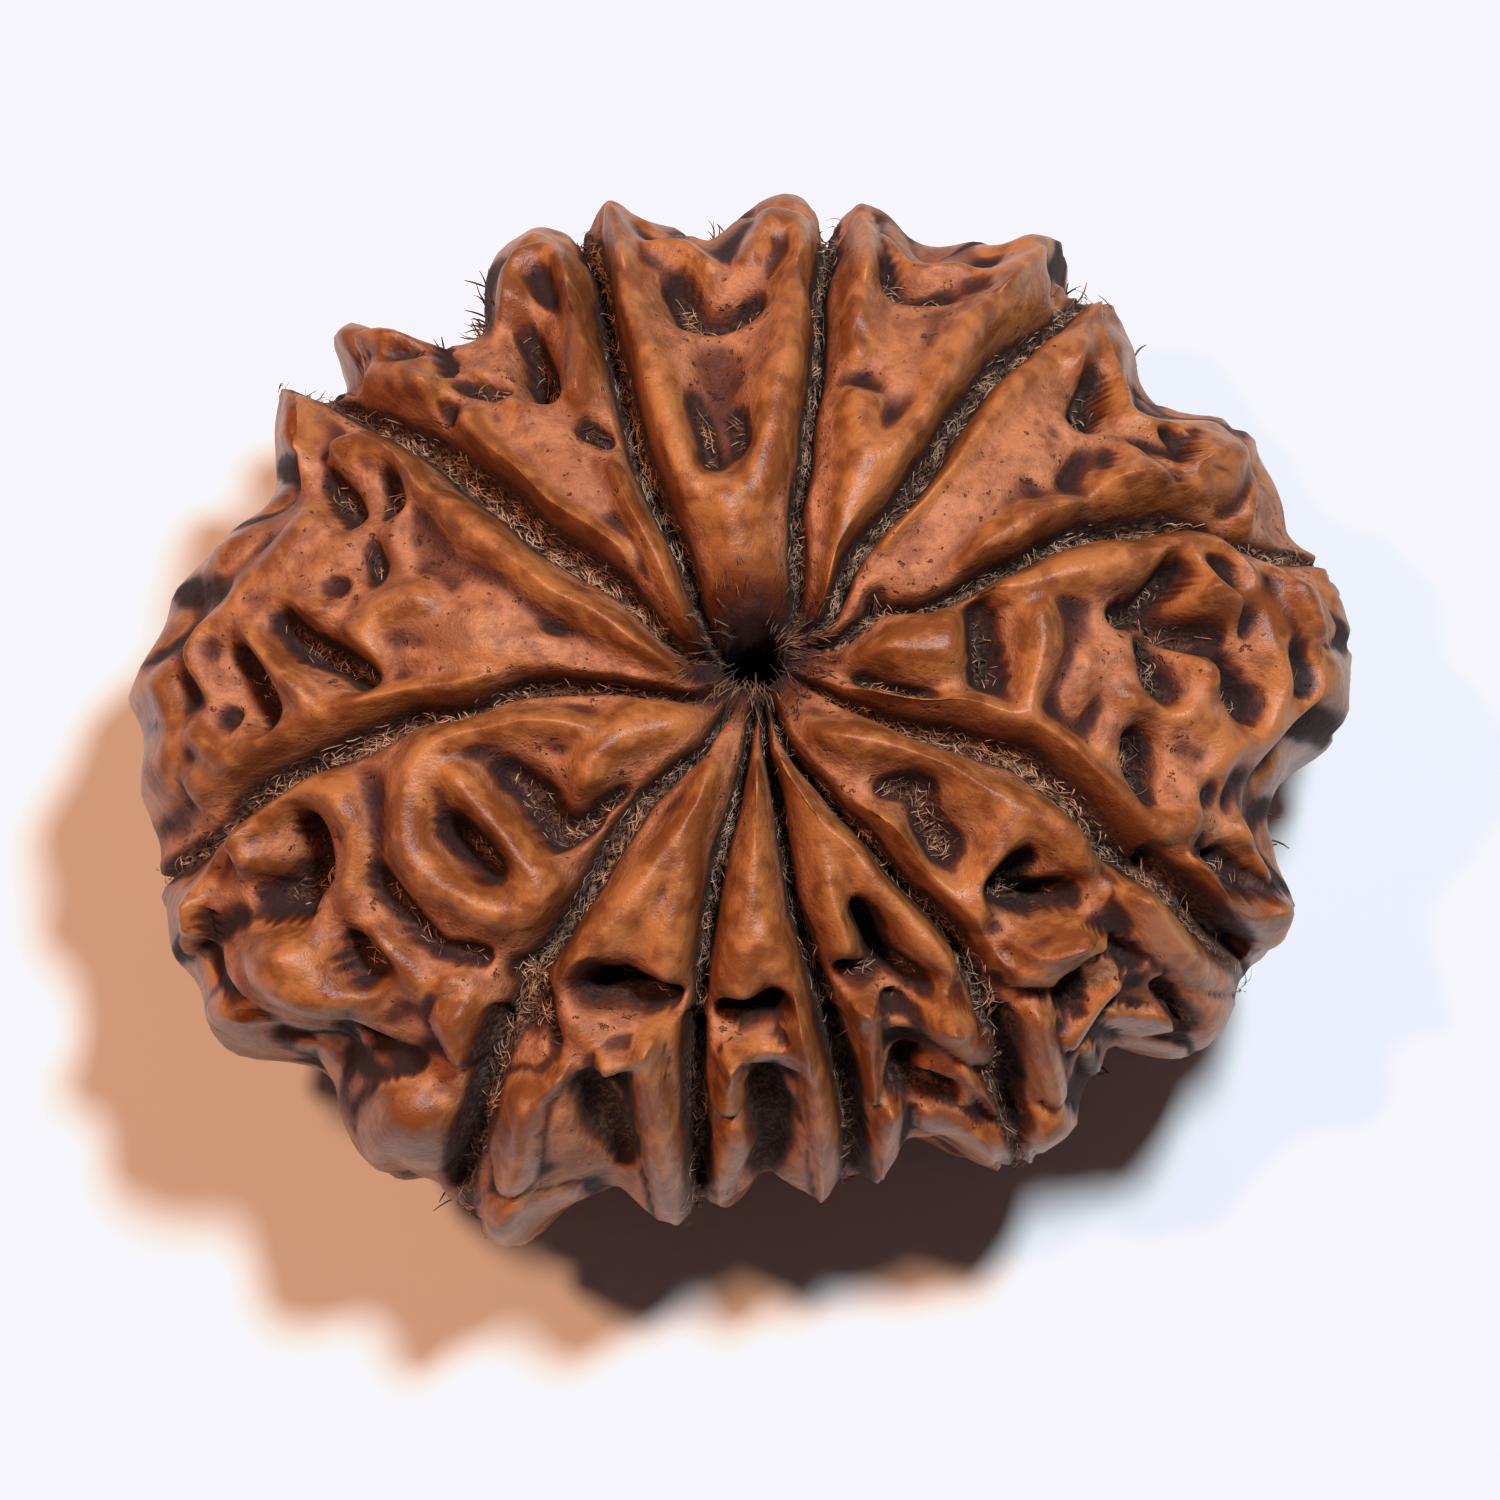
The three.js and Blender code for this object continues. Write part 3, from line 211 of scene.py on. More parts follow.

# What the photograph shows of the relief, read off it. A point is [x pixel, y pixel, half width in
# pixels]. A ridge or pit is (height or depth in mm, its points). A face is named by the grooves beside it.
GROOVE_LINES = {
    "A": [[795, 605, 8], [799, 540, 10], [801, 500, 10], [806, 455, 10], [811, 410, 9], [818, 365, 9],
         [825, 310, 10], [827, 265, 9], [829, 238, 8]],
    "B": [[828, 606, 8], [850, 560, 10], [885, 511, 11], [915, 477, 12], [940, 442, 13], [960, 408, 12],
         [990, 368, 12], [1016, 338, 13], [1045, 315, 12], [1070, 296, 9]],
    "C": [[840, 628, 8], [882, 598, 9], [930, 598, 6], [968, 577, 10], [1002, 556, 9], [1045, 543, 9],
         [1078, 527, 11], [1104, 515, 14], [1145, 511, 13], [1192, 505, 12], [1238, 511, 11],
         [1280, 530, 8]],
    "D": [[845, 690, 7], [890, 708, 8], [930, 722, 12], [980, 735, 15], [1030, 748, 17],
         [1070, 778, 16], [1105, 812, 15], [1140, 850, 15], [1175, 880, 13], [1205, 912, 11],
         [1240, 955, 8]],
    "E": [[785, 722, 6], [806, 757, 8], [835, 790, 9], [862, 825, 9], [888, 858, 9], [918, 892, 9],
         [948, 920, 10], [974, 950, 11], [990, 985, 12], [1003, 1030, 13], [1011, 1075, 13],
         [1017, 1120, 9], [1022, 1160, 6]],
    "F": [[770, 745, 5], [777, 780, 7], [786, 830, 8], [794, 880, 9], [799, 925, 10], [809, 965, 11],
         [824, 1010, 12], [838, 1050, 11], [848, 1090, 9], [853, 1130, 8], [855, 1170, 7]],
    "G": [[748, 745, 5], [738, 780, 7], [729, 820, 9], [719, 860, 10], [709, 905, 10], [702, 945, 10],
         [696, 985, 9], [691, 1030, 8], [691, 1075, 9], [692, 1120, 9], [693, 1165, 8], [697, 1195, 6]],
    "H": [[702, 742, 6], [672, 765, 9], [640, 795, 12], [608, 840, 15], [585, 880, 14], [562, 915, 12],
         [540, 950, 13], [513, 985, 15], [497, 1025, 14], [486, 1070, 12], [475, 1115, 12],
         [460, 1165, 10]],
    "I": [[700, 684, 6], [660, 681, 7], [615, 678, 8], [560, 678, 11], [515, 681, 12], [478, 695, 8],
         [440, 702, 10], [400, 708, 12], [360, 728, 15], [315, 750, 16], [270, 766, 14],
         [230, 788, 14], [195, 815, 14], [172, 840, 8]],
    "J": [[692, 640, 6], [665, 622, 8], [640, 597, 11], [605, 568, 15], [570, 545, 18], [530, 520, 20],
         [490, 485, 21], [455, 455, 20], [425, 430, 20], [395, 412, 17], [368, 398, 12], [342, 390, 9]],
    "K": [[717, 640, 6], [704, 605, 8], [690, 570, 10], [676, 535, 12], [662, 500, 13], [647, 465, 14],
         [632, 430, 14], [620, 395, 14], [610, 355, 13], [602, 315, 12], [595, 275, 11], [589, 238, 8]],
}
RIDGES = {
    "KA": [
        (0.85, [[613, 212, 17], [618, 250, 20], [624, 290, 21], [634, 335, 21], [650, 380, 23],
               [664, 420, 22], [674, 455, 22], [694, 483, 25], [722, 497, 26]]),
        (0.85, [[800, 222, 19], [798, 260, 19], [797, 300, 19], [790, 340, 22], [780, 380, 24],
               [773, 420, 22], [768, 455, 22], [752, 482, 24], [728, 499, 26]]),
        (0.8, [[730, 500, 30], [738, 535, 32], [745, 570, 34], [750, 600, 24]]),
        (0.7, [[612, 212, 17], [640, 230, 15], [680, 238, 14], [706, 254, 13]]),
        (0.8, [[800, 212, 20], [780, 208, 20], [762, 235, 18], [748, 252, 12]]),
    ],
    "AB": [
        (0.8, [[858, 212, 17], [864, 250, 19], [864, 300, 18], [858, 340, 16]]),
        (0.75, [[858, 390, 20], [862, 440, 26], [862, 480, 26], [852, 520, 20], [840, 555, 15],
               [826, 590, 11]]),
        (0.8, [[1042, 262, 26], [1015, 285, 24], [985, 312, 22], [958, 345, 22], [945, 385, 22],
               [925, 415, 20], [895, 450, 22]]),
        (0.7, [[1060, 262, 16], [1032, 250, 20], [1000, 262, 16]]),
        (0.5, [[885, 225, 12], [912, 250, 9], [950, 250, 10], [990, 252, 12]]),
        (0.3, [[905, 320, 34], [915, 370, 34]]),
    ],
    "BC": [
        (0.6, [[1072, 330, 22], [1040, 352, 18], [1008, 385, 16], [978, 425, 14], [950, 462, 12],
               [922, 500, 10], [890, 540, 9]]),
        (0.85, [[1100, 302, 15], [1092, 330, 20], [1085, 350, 16]]),
        (0.8, [[1104, 304, 14], [1120, 330, 14], [1130, 358, 14], [1130, 392, 14]]),
        (0.85, [[968, 552, 10], [990, 538, 16], [1015, 527, 19], [1048, 513, 19], [1084, 500, 12]]),
        (0.95, [[1112, 482, 17], [1145, 476, 22], [1178, 484, 12]]),
        (0.9, [[1136, 446, 12], [1148, 470, 18]]),
        (0.95, [[1200, 470, 20], [1222, 452, 25], [1240, 440, 20], [1238, 480, 14], [1190, 486, 12]]),
        (0.6, [[1150, 412, 12], [1175, 420, 12], [1205, 416, 13], [1235, 428, 14], [1255, 455, 14]]),
        (0.7, [[1262, 470, 13], [1268, 500, 13], [1268, 528, 12]]),
        (0.25, [[1000, 450, 44], [1050, 400, 40], [960, 500, 34]]),
    ],
    "CD": [
        (1.15, [[1203, 585, 16], [1225, 597, 20], [1245, 605, 14]]),
        (0.6, [[1296, 610, 40], [1310, 665, 48], [1300, 725, 42]]),
        (0.95, [[868, 648, 12], [900, 643, 22], [935, 640, 30], [950, 635, 28]]),
        (0.75, [[868, 686, 7], [905, 691, 8], [945, 696, 9], [985, 704, 11], [1020, 713, 13],
               [1050, 728, 15], [1085, 758, 16], [1112, 785, 16], [1140, 815, 19], [1172, 836, 20],
               [1200, 830, 16]]),
        (0.95, [[1040, 612, 20], [1043, 645, 19], [1036, 680, 14], [1034, 705, 12]]),
        (0.9, [[992, 590, 12], [1020, 578, 18], [1060, 572, 22], [1100, 566, 24], [1135, 556, 22],
               [1168, 544, 18], [1198, 533, 17], [1230, 538, 18], [1258, 560, 17], [1262, 588, 14]]),
        (0.95, [[1205, 562, 12], [1214, 582, 15], [1240, 603, 13]]),
        (0.85, [[1210, 650, 12], [1228, 676, 12]]),
        (0.9, [[1282, 560, 16], [1306, 590, 22], [1322, 630, 20], [1330, 680, 18], [1322, 725, 20],
               [1290, 750, 18], [1255, 745, 14]]),
        (0.7, [[1278, 625, 12], [1288, 660, 11], [1298, 695, 12], [1300, 730, 16]]),
        (0.6, [[1128, 694, 14], [1165, 704, 14], [1205, 712, 16], [1235, 735, 16], [1240, 765, 15],
               [1222, 800, 15], [1196, 828, 16]]),
        (0.75, [[1200, 862, 10], [1222, 890, 13], [1248, 918, 15], [1280, 915, 15]]),
        (0.8, [[1256, 832, 12], [1276, 862, 10], [1290, 895, 12]]),
        (0.35, [[1086, 690, 18], [1096, 655, 14]]),
        (0.4, [[1125, 655, 12], [1150, 662, 10]]),
        (0.4, [[1118, 725, 15], [1110, 750, 12]]),
        (0.5, [[1262, 945, 14], [1240, 935, 12]]),
    ],
    "DE": [
        (0.85, [[1008, 968, 18], [1030, 985, 24]]),
        (0.75, [[1120, 905, 24], [1150, 922, 32], [1182, 948, 26]]),
        (0.8, [[1178, 988, 20], [1205, 1005, 28]]),
        (0.9, [[820, 728, 10], [858, 736, 19], [905, 746, 15], [955, 768, 14], [1000, 796, 17],
               [1040, 816, 21], [1075, 838, 23], [1090, 862, 20]]),
        (0.75, [[868, 806, 7], [895, 828, 9], [918, 856, 11], [942, 884, 13], [966, 908, 14],
               [982, 932, 12]]),
        (0.8, [[1010, 830, 22], [996, 862, 22], [984, 895, 20], [982, 922, 14]]),
        (0.35, [[955, 795, 18], [985, 815, 18]]),
        (0.9, [[1012, 966, 22], [1042, 952, 20], [1078, 938, 19], [1096, 945, 14]]),
        (0.85, [[1018, 1014, 14], [1036, 1030, 19], [1044, 1066, 18], [1052, 1096, 16]]),
        (0.6, [[1064, 1040, 10], [1082, 1010, 10], [1110, 982, 11]]),
        (0.8, [[1038, 1124, 15], [1062, 1128, 16]]),
        (0.95, [[1128, 892, 20], [1146, 915, 24], [1162, 938, 22], [1182, 960, 25], [1208, 974, 24]]),
        (0.9, [[1205, 1000, 20], [1196, 1028, 20]]),
        (0.7, [[1120, 1012, 14], [1146, 1044, 16]]),
        (0.5, [[1092, 1062, 10]]),
        (0.5, [[1120, 972, 12], [1140, 985, 10]]),
    ],
    "EF": [
        (0.9, [[940, 1015, 20], [962, 1032, 27]]),
        (0.85, [[782, 758, 7], [802, 798, 11], [820, 838, 15], [832, 880, 17], [838, 920, 19],
               [842, 950, 18]]),
        (0.9, [[806, 800, 8], [838, 838, 13], [866, 868, 16], [894, 898, 20], [922, 928, 22],
               [944, 955, 20], [954, 976, 15]]),
        (1.0, [[950, 1028, 22], [972, 1036, 21]]),
        (0.8, [[922, 1118, 14], [958, 1124, 17], [990, 1130, 19]]),
        (0.5, [[940, 1142, 12], [975, 1155, 10]]),
        (0.8, [[862, 1015, 17], [868, 1050, 13], [873, 1092, 12]]),
        (0.6, [[880, 1050, 9], [905, 1038, 8]]),
        (0.95, [[888, 1124, 17], [882, 1156, 18], [877, 1180, 13]]),
        (0.6, [[972, 1082, 9], [985, 1105, 9]]),
    ],
    "FG": [
        (0.85, [[757, 762, 6], [757, 805, 10], [757, 850, 16], [753, 895, 23], [750, 935, 30],
               [742, 968, 30], [734, 990, 24]]),
        (0.85, [[770, 940, 20], [785, 978, 18], [799, 1014, 16], [812, 1052, 18], [823, 1092, 20],
               [829, 1132, 18], [831, 1168, 15], [829, 1192, 10]]),
        (0.95, [[725, 1072, 17], [727, 1098, 16]]),
        (0.75, [[728, 1064, 13], [756, 1054, 11], [782, 1056, 11]]),
        (0.8, [[720, 1138, 18], [719, 1162, 16]]),
        (0.6, [[722, 1190, 13], [738, 1172, 9], [756, 1135, 8]]),
        (0.5, [[768, 1158, 7], [800, 1182, 8], [822, 1200, 8]]),
    ],
    "GH": [
        (0.85, [[706, 768, 13], [694, 808, 16], [686, 855, 17], [680, 900, 20], [670, 945, 24],
               [664, 974, 21]]),
        (0.85, [[690, 812, 14], [660, 858, 18], [626, 902, 22], [596, 938, 24], [570, 968, 21]]),
        (0.5, [[650, 905, 30], [628, 935, 26]]),
        (0.95, [[658, 1046, 21], [660, 1086, 21], [660, 1126, 19], [667, 1168, 21], [678, 1202, 20],
               [684, 1216, 16]]),
        (0.7, [[604, 1136, 8], [618, 1162, 10], [640, 1188, 14], [662, 1208, 14]]),
        (0.95, [[516, 1094, 20], [514, 1130, 25], [520, 1168, 23], [526, 1192, 18]]),
        (0.8, [[556, 1078, 14], [540, 1100, 12]]),
        (0.4, [[575, 1040, 18], [600, 1060, 14]]),
        (0.8, [[484, 1196, 14], [505, 1218, 18], [540, 1228, 14], [574, 1220, 13], [588, 1190, 9]]),
        (0.5, [[584, 1110, 11], [570, 1142, 13]]),
    ],
    "HI": [
        (0.55, [[262, 955, 40], [290, 985, 60], [325, 1010, 44]]),
        (0.8, [[388, 1085, 30], [408, 1118, 44], [420, 1150, 30]]),
        (0.85, [[447, 1005, 16], [455, 1040, 26], [457, 1065, 20]]),
        (0.6, [[680, 715, 20], [645, 718, 30], [612, 730, 26]]),
        (0.85, [[610, 735, 22], [588, 758, 20], [588, 780, 14]]),
        (0.85, [[575, 728, 14], [535, 722, 13], [495, 722, 13], [455, 732, 16], [420, 748, 20],
               [405, 780, 24], [400, 820, 20], [404, 855, 18], [428, 884, 20], [465, 904, 22],
               [500, 916, 22], [525, 916, 20]]),
        (0.95, [[452, 776, 14], [478, 806, 18], [504, 838, 20], [526, 868, 24], [538, 895, 22]]),
        (0.85, [[222, 850, 18], [232, 822, 18], [262, 800, 18], [300, 784, 20], [330, 795, 18],
               [345, 820, 13]]),
        (0.8, [[225, 845, 17], [245, 868, 16]]),
        (0.6, [[350, 838, 12], [345, 870, 12], [335, 905, 12]]),
        (0.95, [[285, 950, 30], [272, 985, 34], [300, 1012, 26]]),
        (0.75, [[322, 1012, 14], [352, 1008, 15], [374, 985, 13], [384, 955, 11], [368, 930, 10]]),
        (0.6, [[396, 965, 14], [408, 995, 16]]),
        (0.95, [[448, 998, 20], [456, 1030, 24], [464, 1066, 18]]),
        (0.9, [[448, 1108, 20], [425, 1130, 26], [402, 1150, 20]]),
        (0.6, [[430, 1192, 14], [452, 1178, 10]]),
        (0.6, [[182, 862, 11], [178, 905, 11], [186, 945, 11], [205, 985, 11]]),
        (0.6, [[215, 1000, 10], [232, 1035, 12], [275, 1055, 12]]),
        (0.4, [[340, 1105, 14], [350, 1130, 14]]),
    ],
    "IJ": [
        (0.95, [[335, 440, 22], [358, 428, 18], [385, 445, 12], [406, 468, 13], [420, 492, 10]]),
        (0.9, [[440, 498, 16], [468, 522, 18], [500, 550, 18], [535, 578, 16], [570, 600, 14],
               [605, 620, 15], [640, 640, 13], [668, 655, 9]]),
        (0.9, [[292, 396, 15], [290, 430, 16], [287, 462, 12]]),
        (0.7, [[412, 596, 20], [375, 606, 20], [350, 628, 18], [362, 655, 14]]),
        (0.65, [[475, 678, 12], [430, 682, 12], [385, 692, 12], [335, 706, 15], [285, 722, 15],
               [242, 745, 16], [205, 768, 20], [172, 788, 16]]),
        (0.75, [[226, 620, 9], [252, 648, 11], [276, 676, 13], [296, 700, 12]]),
        (0.75, [[215, 606, 10], [186, 620, 11], [172, 650, 12], [184, 690, 10]]),
        (0.45, [[296, 505, 24], [270, 545, 26], [225, 572, 22]]),
        (0.7, [[268, 588, 10], [292, 604, 12], [318, 600, 10]]),
        (0.8, [[172, 728, 18], [200, 745, 12]]),
        (0.8, [[136, 706, 12], [152, 712, 12]]),
        (0.7, [[152, 760, 14], [152, 790, 12]]),
        (0.35, [[330, 540, 18], [300, 560, 16]]),
        (0.35, [[470, 620, 40], [430, 640, 30], [540, 645, 26]]),
        (0.45, [[384, 500, 9], [376, 540, 9], [388, 570, 10]]),
    ],
    "JK": [
        (0.75, [[458, 405, 14], [480, 438, 15], [512, 468, 15], [546, 498, 15], [582, 524, 14],
               [616, 546, 11]]),
        (0.75, [[612, 462, 11], [626, 498, 12], [642, 532, 12], [660, 565, 12], [678, 598, 11],
               [690, 625, 8]]),
        (0.95, [[508, 300, 14], [506, 272, 18], [528, 250, 18], [555, 244, 18], [568, 268, 15]]),
        (0.95, [[572, 285, 15], [577, 325, 17], [577, 360, 17], [572, 386, 13]]),
        (0.9, [[345, 340, 18], [375, 332, 18], [402, 335, 15], [420, 355, 11]]),
        (0.9, [[362, 366, 20], [396, 368, 20], [424, 380, 16]]),
        (0.6, [[465, 365, 10]]),
        (0.3, [[510, 420, 26], [550, 455, 26], [590, 490, 20]]),
        (0.5, [[500, 395, 10], [520, 405, 9]]),
    ],
}
PITS = {
    "KA": [
        (1.2, [[676, 262, 16], [694, 290, 19], [730, 288, 17], [752, 276, 11]]),
        (0.38, [[712, 340, 26], [716, 390, 22], [720, 440, 19]]),
        (0.9, [[688, 378, 5], [699, 415, 9], [706, 450, 8]]),
        (0.9, [[735, 398, 6], [742, 425, 8], [740, 440, 6]]),
    ],
    "AB": [
        (0.9, [[890, 248, 7], [906, 267, 11], [930, 273, 12], [950, 270, 10]]),
        (0.35, [[860, 322, 4], [866, 338, 5]]),
        (0.3, [[858, 366, 5], [880, 378, 4]]),
    ],
    "BC": [
        (1.7, [[1110, 358, 8], [1108, 384, 12], [1098, 405, 9]]),
        (0.8, [[880, 591, 12]]),
        (0.45, [[1180, 446, 4], [1208, 430, 5]]),
        (0.5, [[1158, 440, 6], [1178, 466, 4]]),
        (0.3, [[1064, 408, 5], [1070, 424, 5]]),
        (0.35, [[1034, 470, 4], [1044, 487, 5]]),
        (0.4, [[1076, 470, 6], [1095, 440, 6]]),
    ],
    "CD": [
        (1.3, [[1180, 606, 9], [1200, 624, 12], [1228, 632, 9]]),
        (1.4, [[984, 600, 8], [988, 635, 12], [995, 668, 15]]),
        (0.9, [[862, 668, 6], [890, 679, 7], [935, 689, 4]]),
        (1.9, [[1188, 566, 12], [1170, 592, 14], [1135, 606, 10]]),
        (1.9, [[1185, 612, 12], [1215, 625, 14], [1240, 628, 8]]),
        (1.1, [[1168, 636, 15], [1180, 668, 19], [1190, 688, 12]]),
        (0.6, [[1236, 564, 8]]),
        (0.9, [[1262, 616, 10]]),
        (1.5, [[1248, 663, 11], [1262, 688, 12], [1274, 706, 15]]),
        (0.8, [[1312, 662, 9], [1320, 684, 9]]),
        (1.3, [[1158, 745, 20], [1162, 768, 20], [1168, 798, 9]]),
        (0.5, [[1195, 752, 8]]),
        (0.8, [[1232, 794, 8], [1218, 803, 6]]),
        (0.6, [[1250, 812, 6]]),
        (1.4, [[1246, 872, 14], [1264, 886, 17]]),
        (0.8, [[1224, 850, 7], [1232, 865, 7]]),
        (0.35, [[1108, 690, 5], [1100, 725, 5]]),
    ],
    "DE": [
        (0.85, [[893, 786, 12], [922, 786, 15], [930, 815, 17], [948, 842, 19]]),
        (1.9, [[1034, 868, 12], [1012, 895, 14], [1042, 905, 18], [1076, 900, 13]]),
        (1.4, [[1086, 968, 12], [1064, 998, 12]]),
        (1.7, [[1124, 946, 13], [1106, 952, 9]]),
        (1.3, [[1160, 994, 9], [1180, 1014, 9]]),
        (0.9, [[1098, 1010, 8], [1085, 1045, 7]]),
        (0.8, [[1005, 1002, 12]]),
    ],
    "EF": [
        (2.1, [[866, 912, 7], [876, 940, 12], [892, 970, 15], [925, 994, 10]]),
        (1.2, [[848, 985, 10], [880, 990, 8]]),
        (1.3, [[896, 1014, 9]]),
        (2.2, [[908, 1062, 14], [930, 1084, 16], [948, 1092, 10]]),
        (1.2, [[905, 1108, 7], [930, 1100, 8]]),
    ],
    "FG": [
        (1.6, [[722, 1026, 9], [748, 1028, 13], [772, 1014, 11]]),
        (2.2, [[772, 1082, 13], [778, 1108, 18]]),
        (1.3, [[790, 1132, 12], [808, 1158, 8]]),
        (0.8, [[716, 1118, 8]]),
        (1.0, [[768, 1142, 9]]),
    ],
    "GH": [
        (1.9, [[588, 1002, 10], [614, 990, 14], [642, 1004, 13], [668, 1010, 8]]),
        (1.6, [[606, 1090, 9], [618, 1120, 14], [634, 1156, 10]]),
        (1.2, [[570, 1190, 12]]),
        (0.8, [[530, 1030, 12], [540, 1058, 9]]),
    ],
    "HI": [
        (1.1, [[340, 952, 12], [350, 975, 13]]),
        (0.9, [[508, 985, 18], [518, 1010, 24], [507, 1045, 16]]),
        (1.6, [[444, 828, 12], [460, 848, 15], [482, 870, 10]]),
        (1.3, [[502, 768, 12], [530, 796, 19], [556, 830, 17], [585, 820, 12]]),
        (1.0, [[592, 806, 8], [618, 788, 8]]),
        (2.1, [[284, 836, 18], [290, 868, 20], [258, 896, 17], [240, 905, 12], [280, 905, 15]]),
        (1.2, [[346, 958, 11], [352, 978, 11], [368, 974, 9]]),
        (0.9, [[366, 880, 9], [388, 905, 11], [405, 940, 9], [425, 955, 8]]),
        (1.5, [[345, 1062, 9], [388, 1078, 14], [424, 1064, 9]]),
        (0.8, [[445, 960, 10], [470, 965, 9]]),
    ],
    "IJ": [
        (1.0, [[310, 466, 9], [322, 488, 13], [336, 505, 9]]),
        (0.9, [[374, 474, 13], [374, 494, 12]]),
        (0.7, [[356, 532, 6], [364, 562, 10]]),
        (1.0, [[322, 580, 9]]),
        (1.5, [[262, 616, 12], [284, 638, 16], [318, 652, 14], [350, 670, 12]]),
        (1.5, [[214, 652, 10], [228, 684, 18], [244, 712, 13]]),
        (1.0, [[204, 712, 9]]),
        (0.3, [[540, 622, 6], [560, 630, 5]]),
        (0.3, [[414, 640, 7]]),
        (0.3, [[286, 508, 4]]),
        (0.3, [[256, 580, 5]]),
        (0.6, [[160, 702, 5], [182, 696, 5]]),
    ],
    "JK": [
        (1.9, [[514, 312, 12], [522, 344, 17], [532, 372, 12]]),
        (0.6, [[392, 344, 7], [412, 346, 6]]),
        (0.8, [[578, 412, 10], [598, 420, 9]]),
        (0.8, [[446, 368, 6], [490, 376, 8]]),
        (0.5, [[436, 395, 9]]),
    ],
}

# Knobs, and the gaps between them, set where the camera sees them: most on the steep wall at the lower rim,
# some at lobes elsewhere. KNOB_HEIGHT, KNOB_LIFT and KNOB_LEAN turn their numbers into mm.
KNOBS = [
    (0.75, [[646, 1050, 21], [654, 1100, 24], [664, 1150, 24], [676, 1190, 23], [683, 1212, 18]]),
    (0.7, [[610, 1060, 14], [640, 1052, 16]]),
    (0.75, [[522, 1098, 30], [514, 1130, 27], [518, 1165, 24]]),
    (0.55, [[556, 1078, 16], [540, 1090, 18]]),
    (0.5, [[505, 1205, 24], [540, 1215, 20], [575, 1200, 14]]),
    (0.75, [[455, 1018, 26], [466, 1050, 20]]),
    (0.85, [[405, 1118, 44], [430, 1130, 40]]),
    (0.75, [[732, 1066, 20], [729, 1096, 20]]),
    (0.5, [[740, 1052, 11], [775, 1050, 12], [800, 1060, 12]]),
    (0.65, [[735, 1138, 24], [722, 1165, 20]]),
    (0.5, [[722, 1190, 16], [728, 1196, 14]]),
    (0.7, [[798, 1020, 18], [812, 1060, 20], [822, 1105, 23], [826, 1150, 20], [828, 1180, 15]]),
    (0.6, [[862, 1000, 18], [868, 1040, 15], [870, 1090, 12]]),
    (0.8, [[888, 1112, 18], [880, 1140, 21], [873, 1170, 17]]),
    (0.85, [[945, 1022, 24], [972, 1038, 26]]),
    (0.6, [[925, 1118, 15], [955, 1124, 18], [988, 1134, 20]]),
    (0.4, [[965, 1068, 12], [990, 1098, 11]]),
    (0.75, [[1030, 1020, 24], [1044, 1062, 20], [1052, 1090, 16]]),
    (0.85, [[1036, 1124, 22], [1058, 1122, 22]]),
    (0.5, [[1016, 1140, 12], [1020, 1160, 10]]),
    (0.85, [[1140, 898, 28], [1158, 920, 33], [1180, 946, 29], [1206, 968, 32]]),
    (0.75, [[1206, 1000, 26], [1200, 1026, 25]]),
    (0.8, [[1016, 968, 20], [1042, 966, 23], [1072, 946, 20], [1092, 940, 15]]),
    (0.6, [[1066, 1036, 14], [1088, 1008, 13], [1112, 984, 11]]),
    (0.55, [[1114, 1018, 14], [1134, 1024, 19], [1158, 1016, 13]]),
    (0.4, [[1140, 1050, 16], [1164, 1048, 13]]),
    (0.45, [[1088, 1052, 11], [1094, 1068, 11]]),
    (0.7, [[1198, 866, 12], [1216, 890, 15], [1242, 918, 19], [1268, 930, 24], [1284, 908, 14]]),
    (0.35, [[614, 212, 20], [622, 250, 18]]),
    (0.4, [[775, 210, 26], [800, 222, 22], [806, 250, 16]]),
    (0.4, [[855, 215, 19], [867, 260, 20]]),
    (0.35, [[1032, 248, 26], [1010, 275, 20]]),
    (0.35, [[530, 248, 28], [560, 256, 20], [572, 300, 14]]),
    (0.4, [[356, 336, 24], [396, 342, 22]]),
    (0.3, [[380, 372, 22], [420, 384, 18]]),
    (0.35, [[297, 400, 18], [290, 440, 16]]),
    (0.35, [[1126, 468, 20], [1160, 474, 18]]),
    (0.35, [[1208, 446, 20], [1240, 452, 20]]),
    (0.4, [[1300, 590, 20], [1318, 630, 18]]),
    (0.3, [[178, 862, 15], [200, 850, 18], [230, 830, 20]]),
    (0.55, [[266, 962, 46], [312, 990, 44]]),
    (0.4, [[222, 1012, 20], [262, 1040, 18], [300, 1048, 14]]),
    (0.35, [[186, 905, 12], [192, 945, 12]]),
]
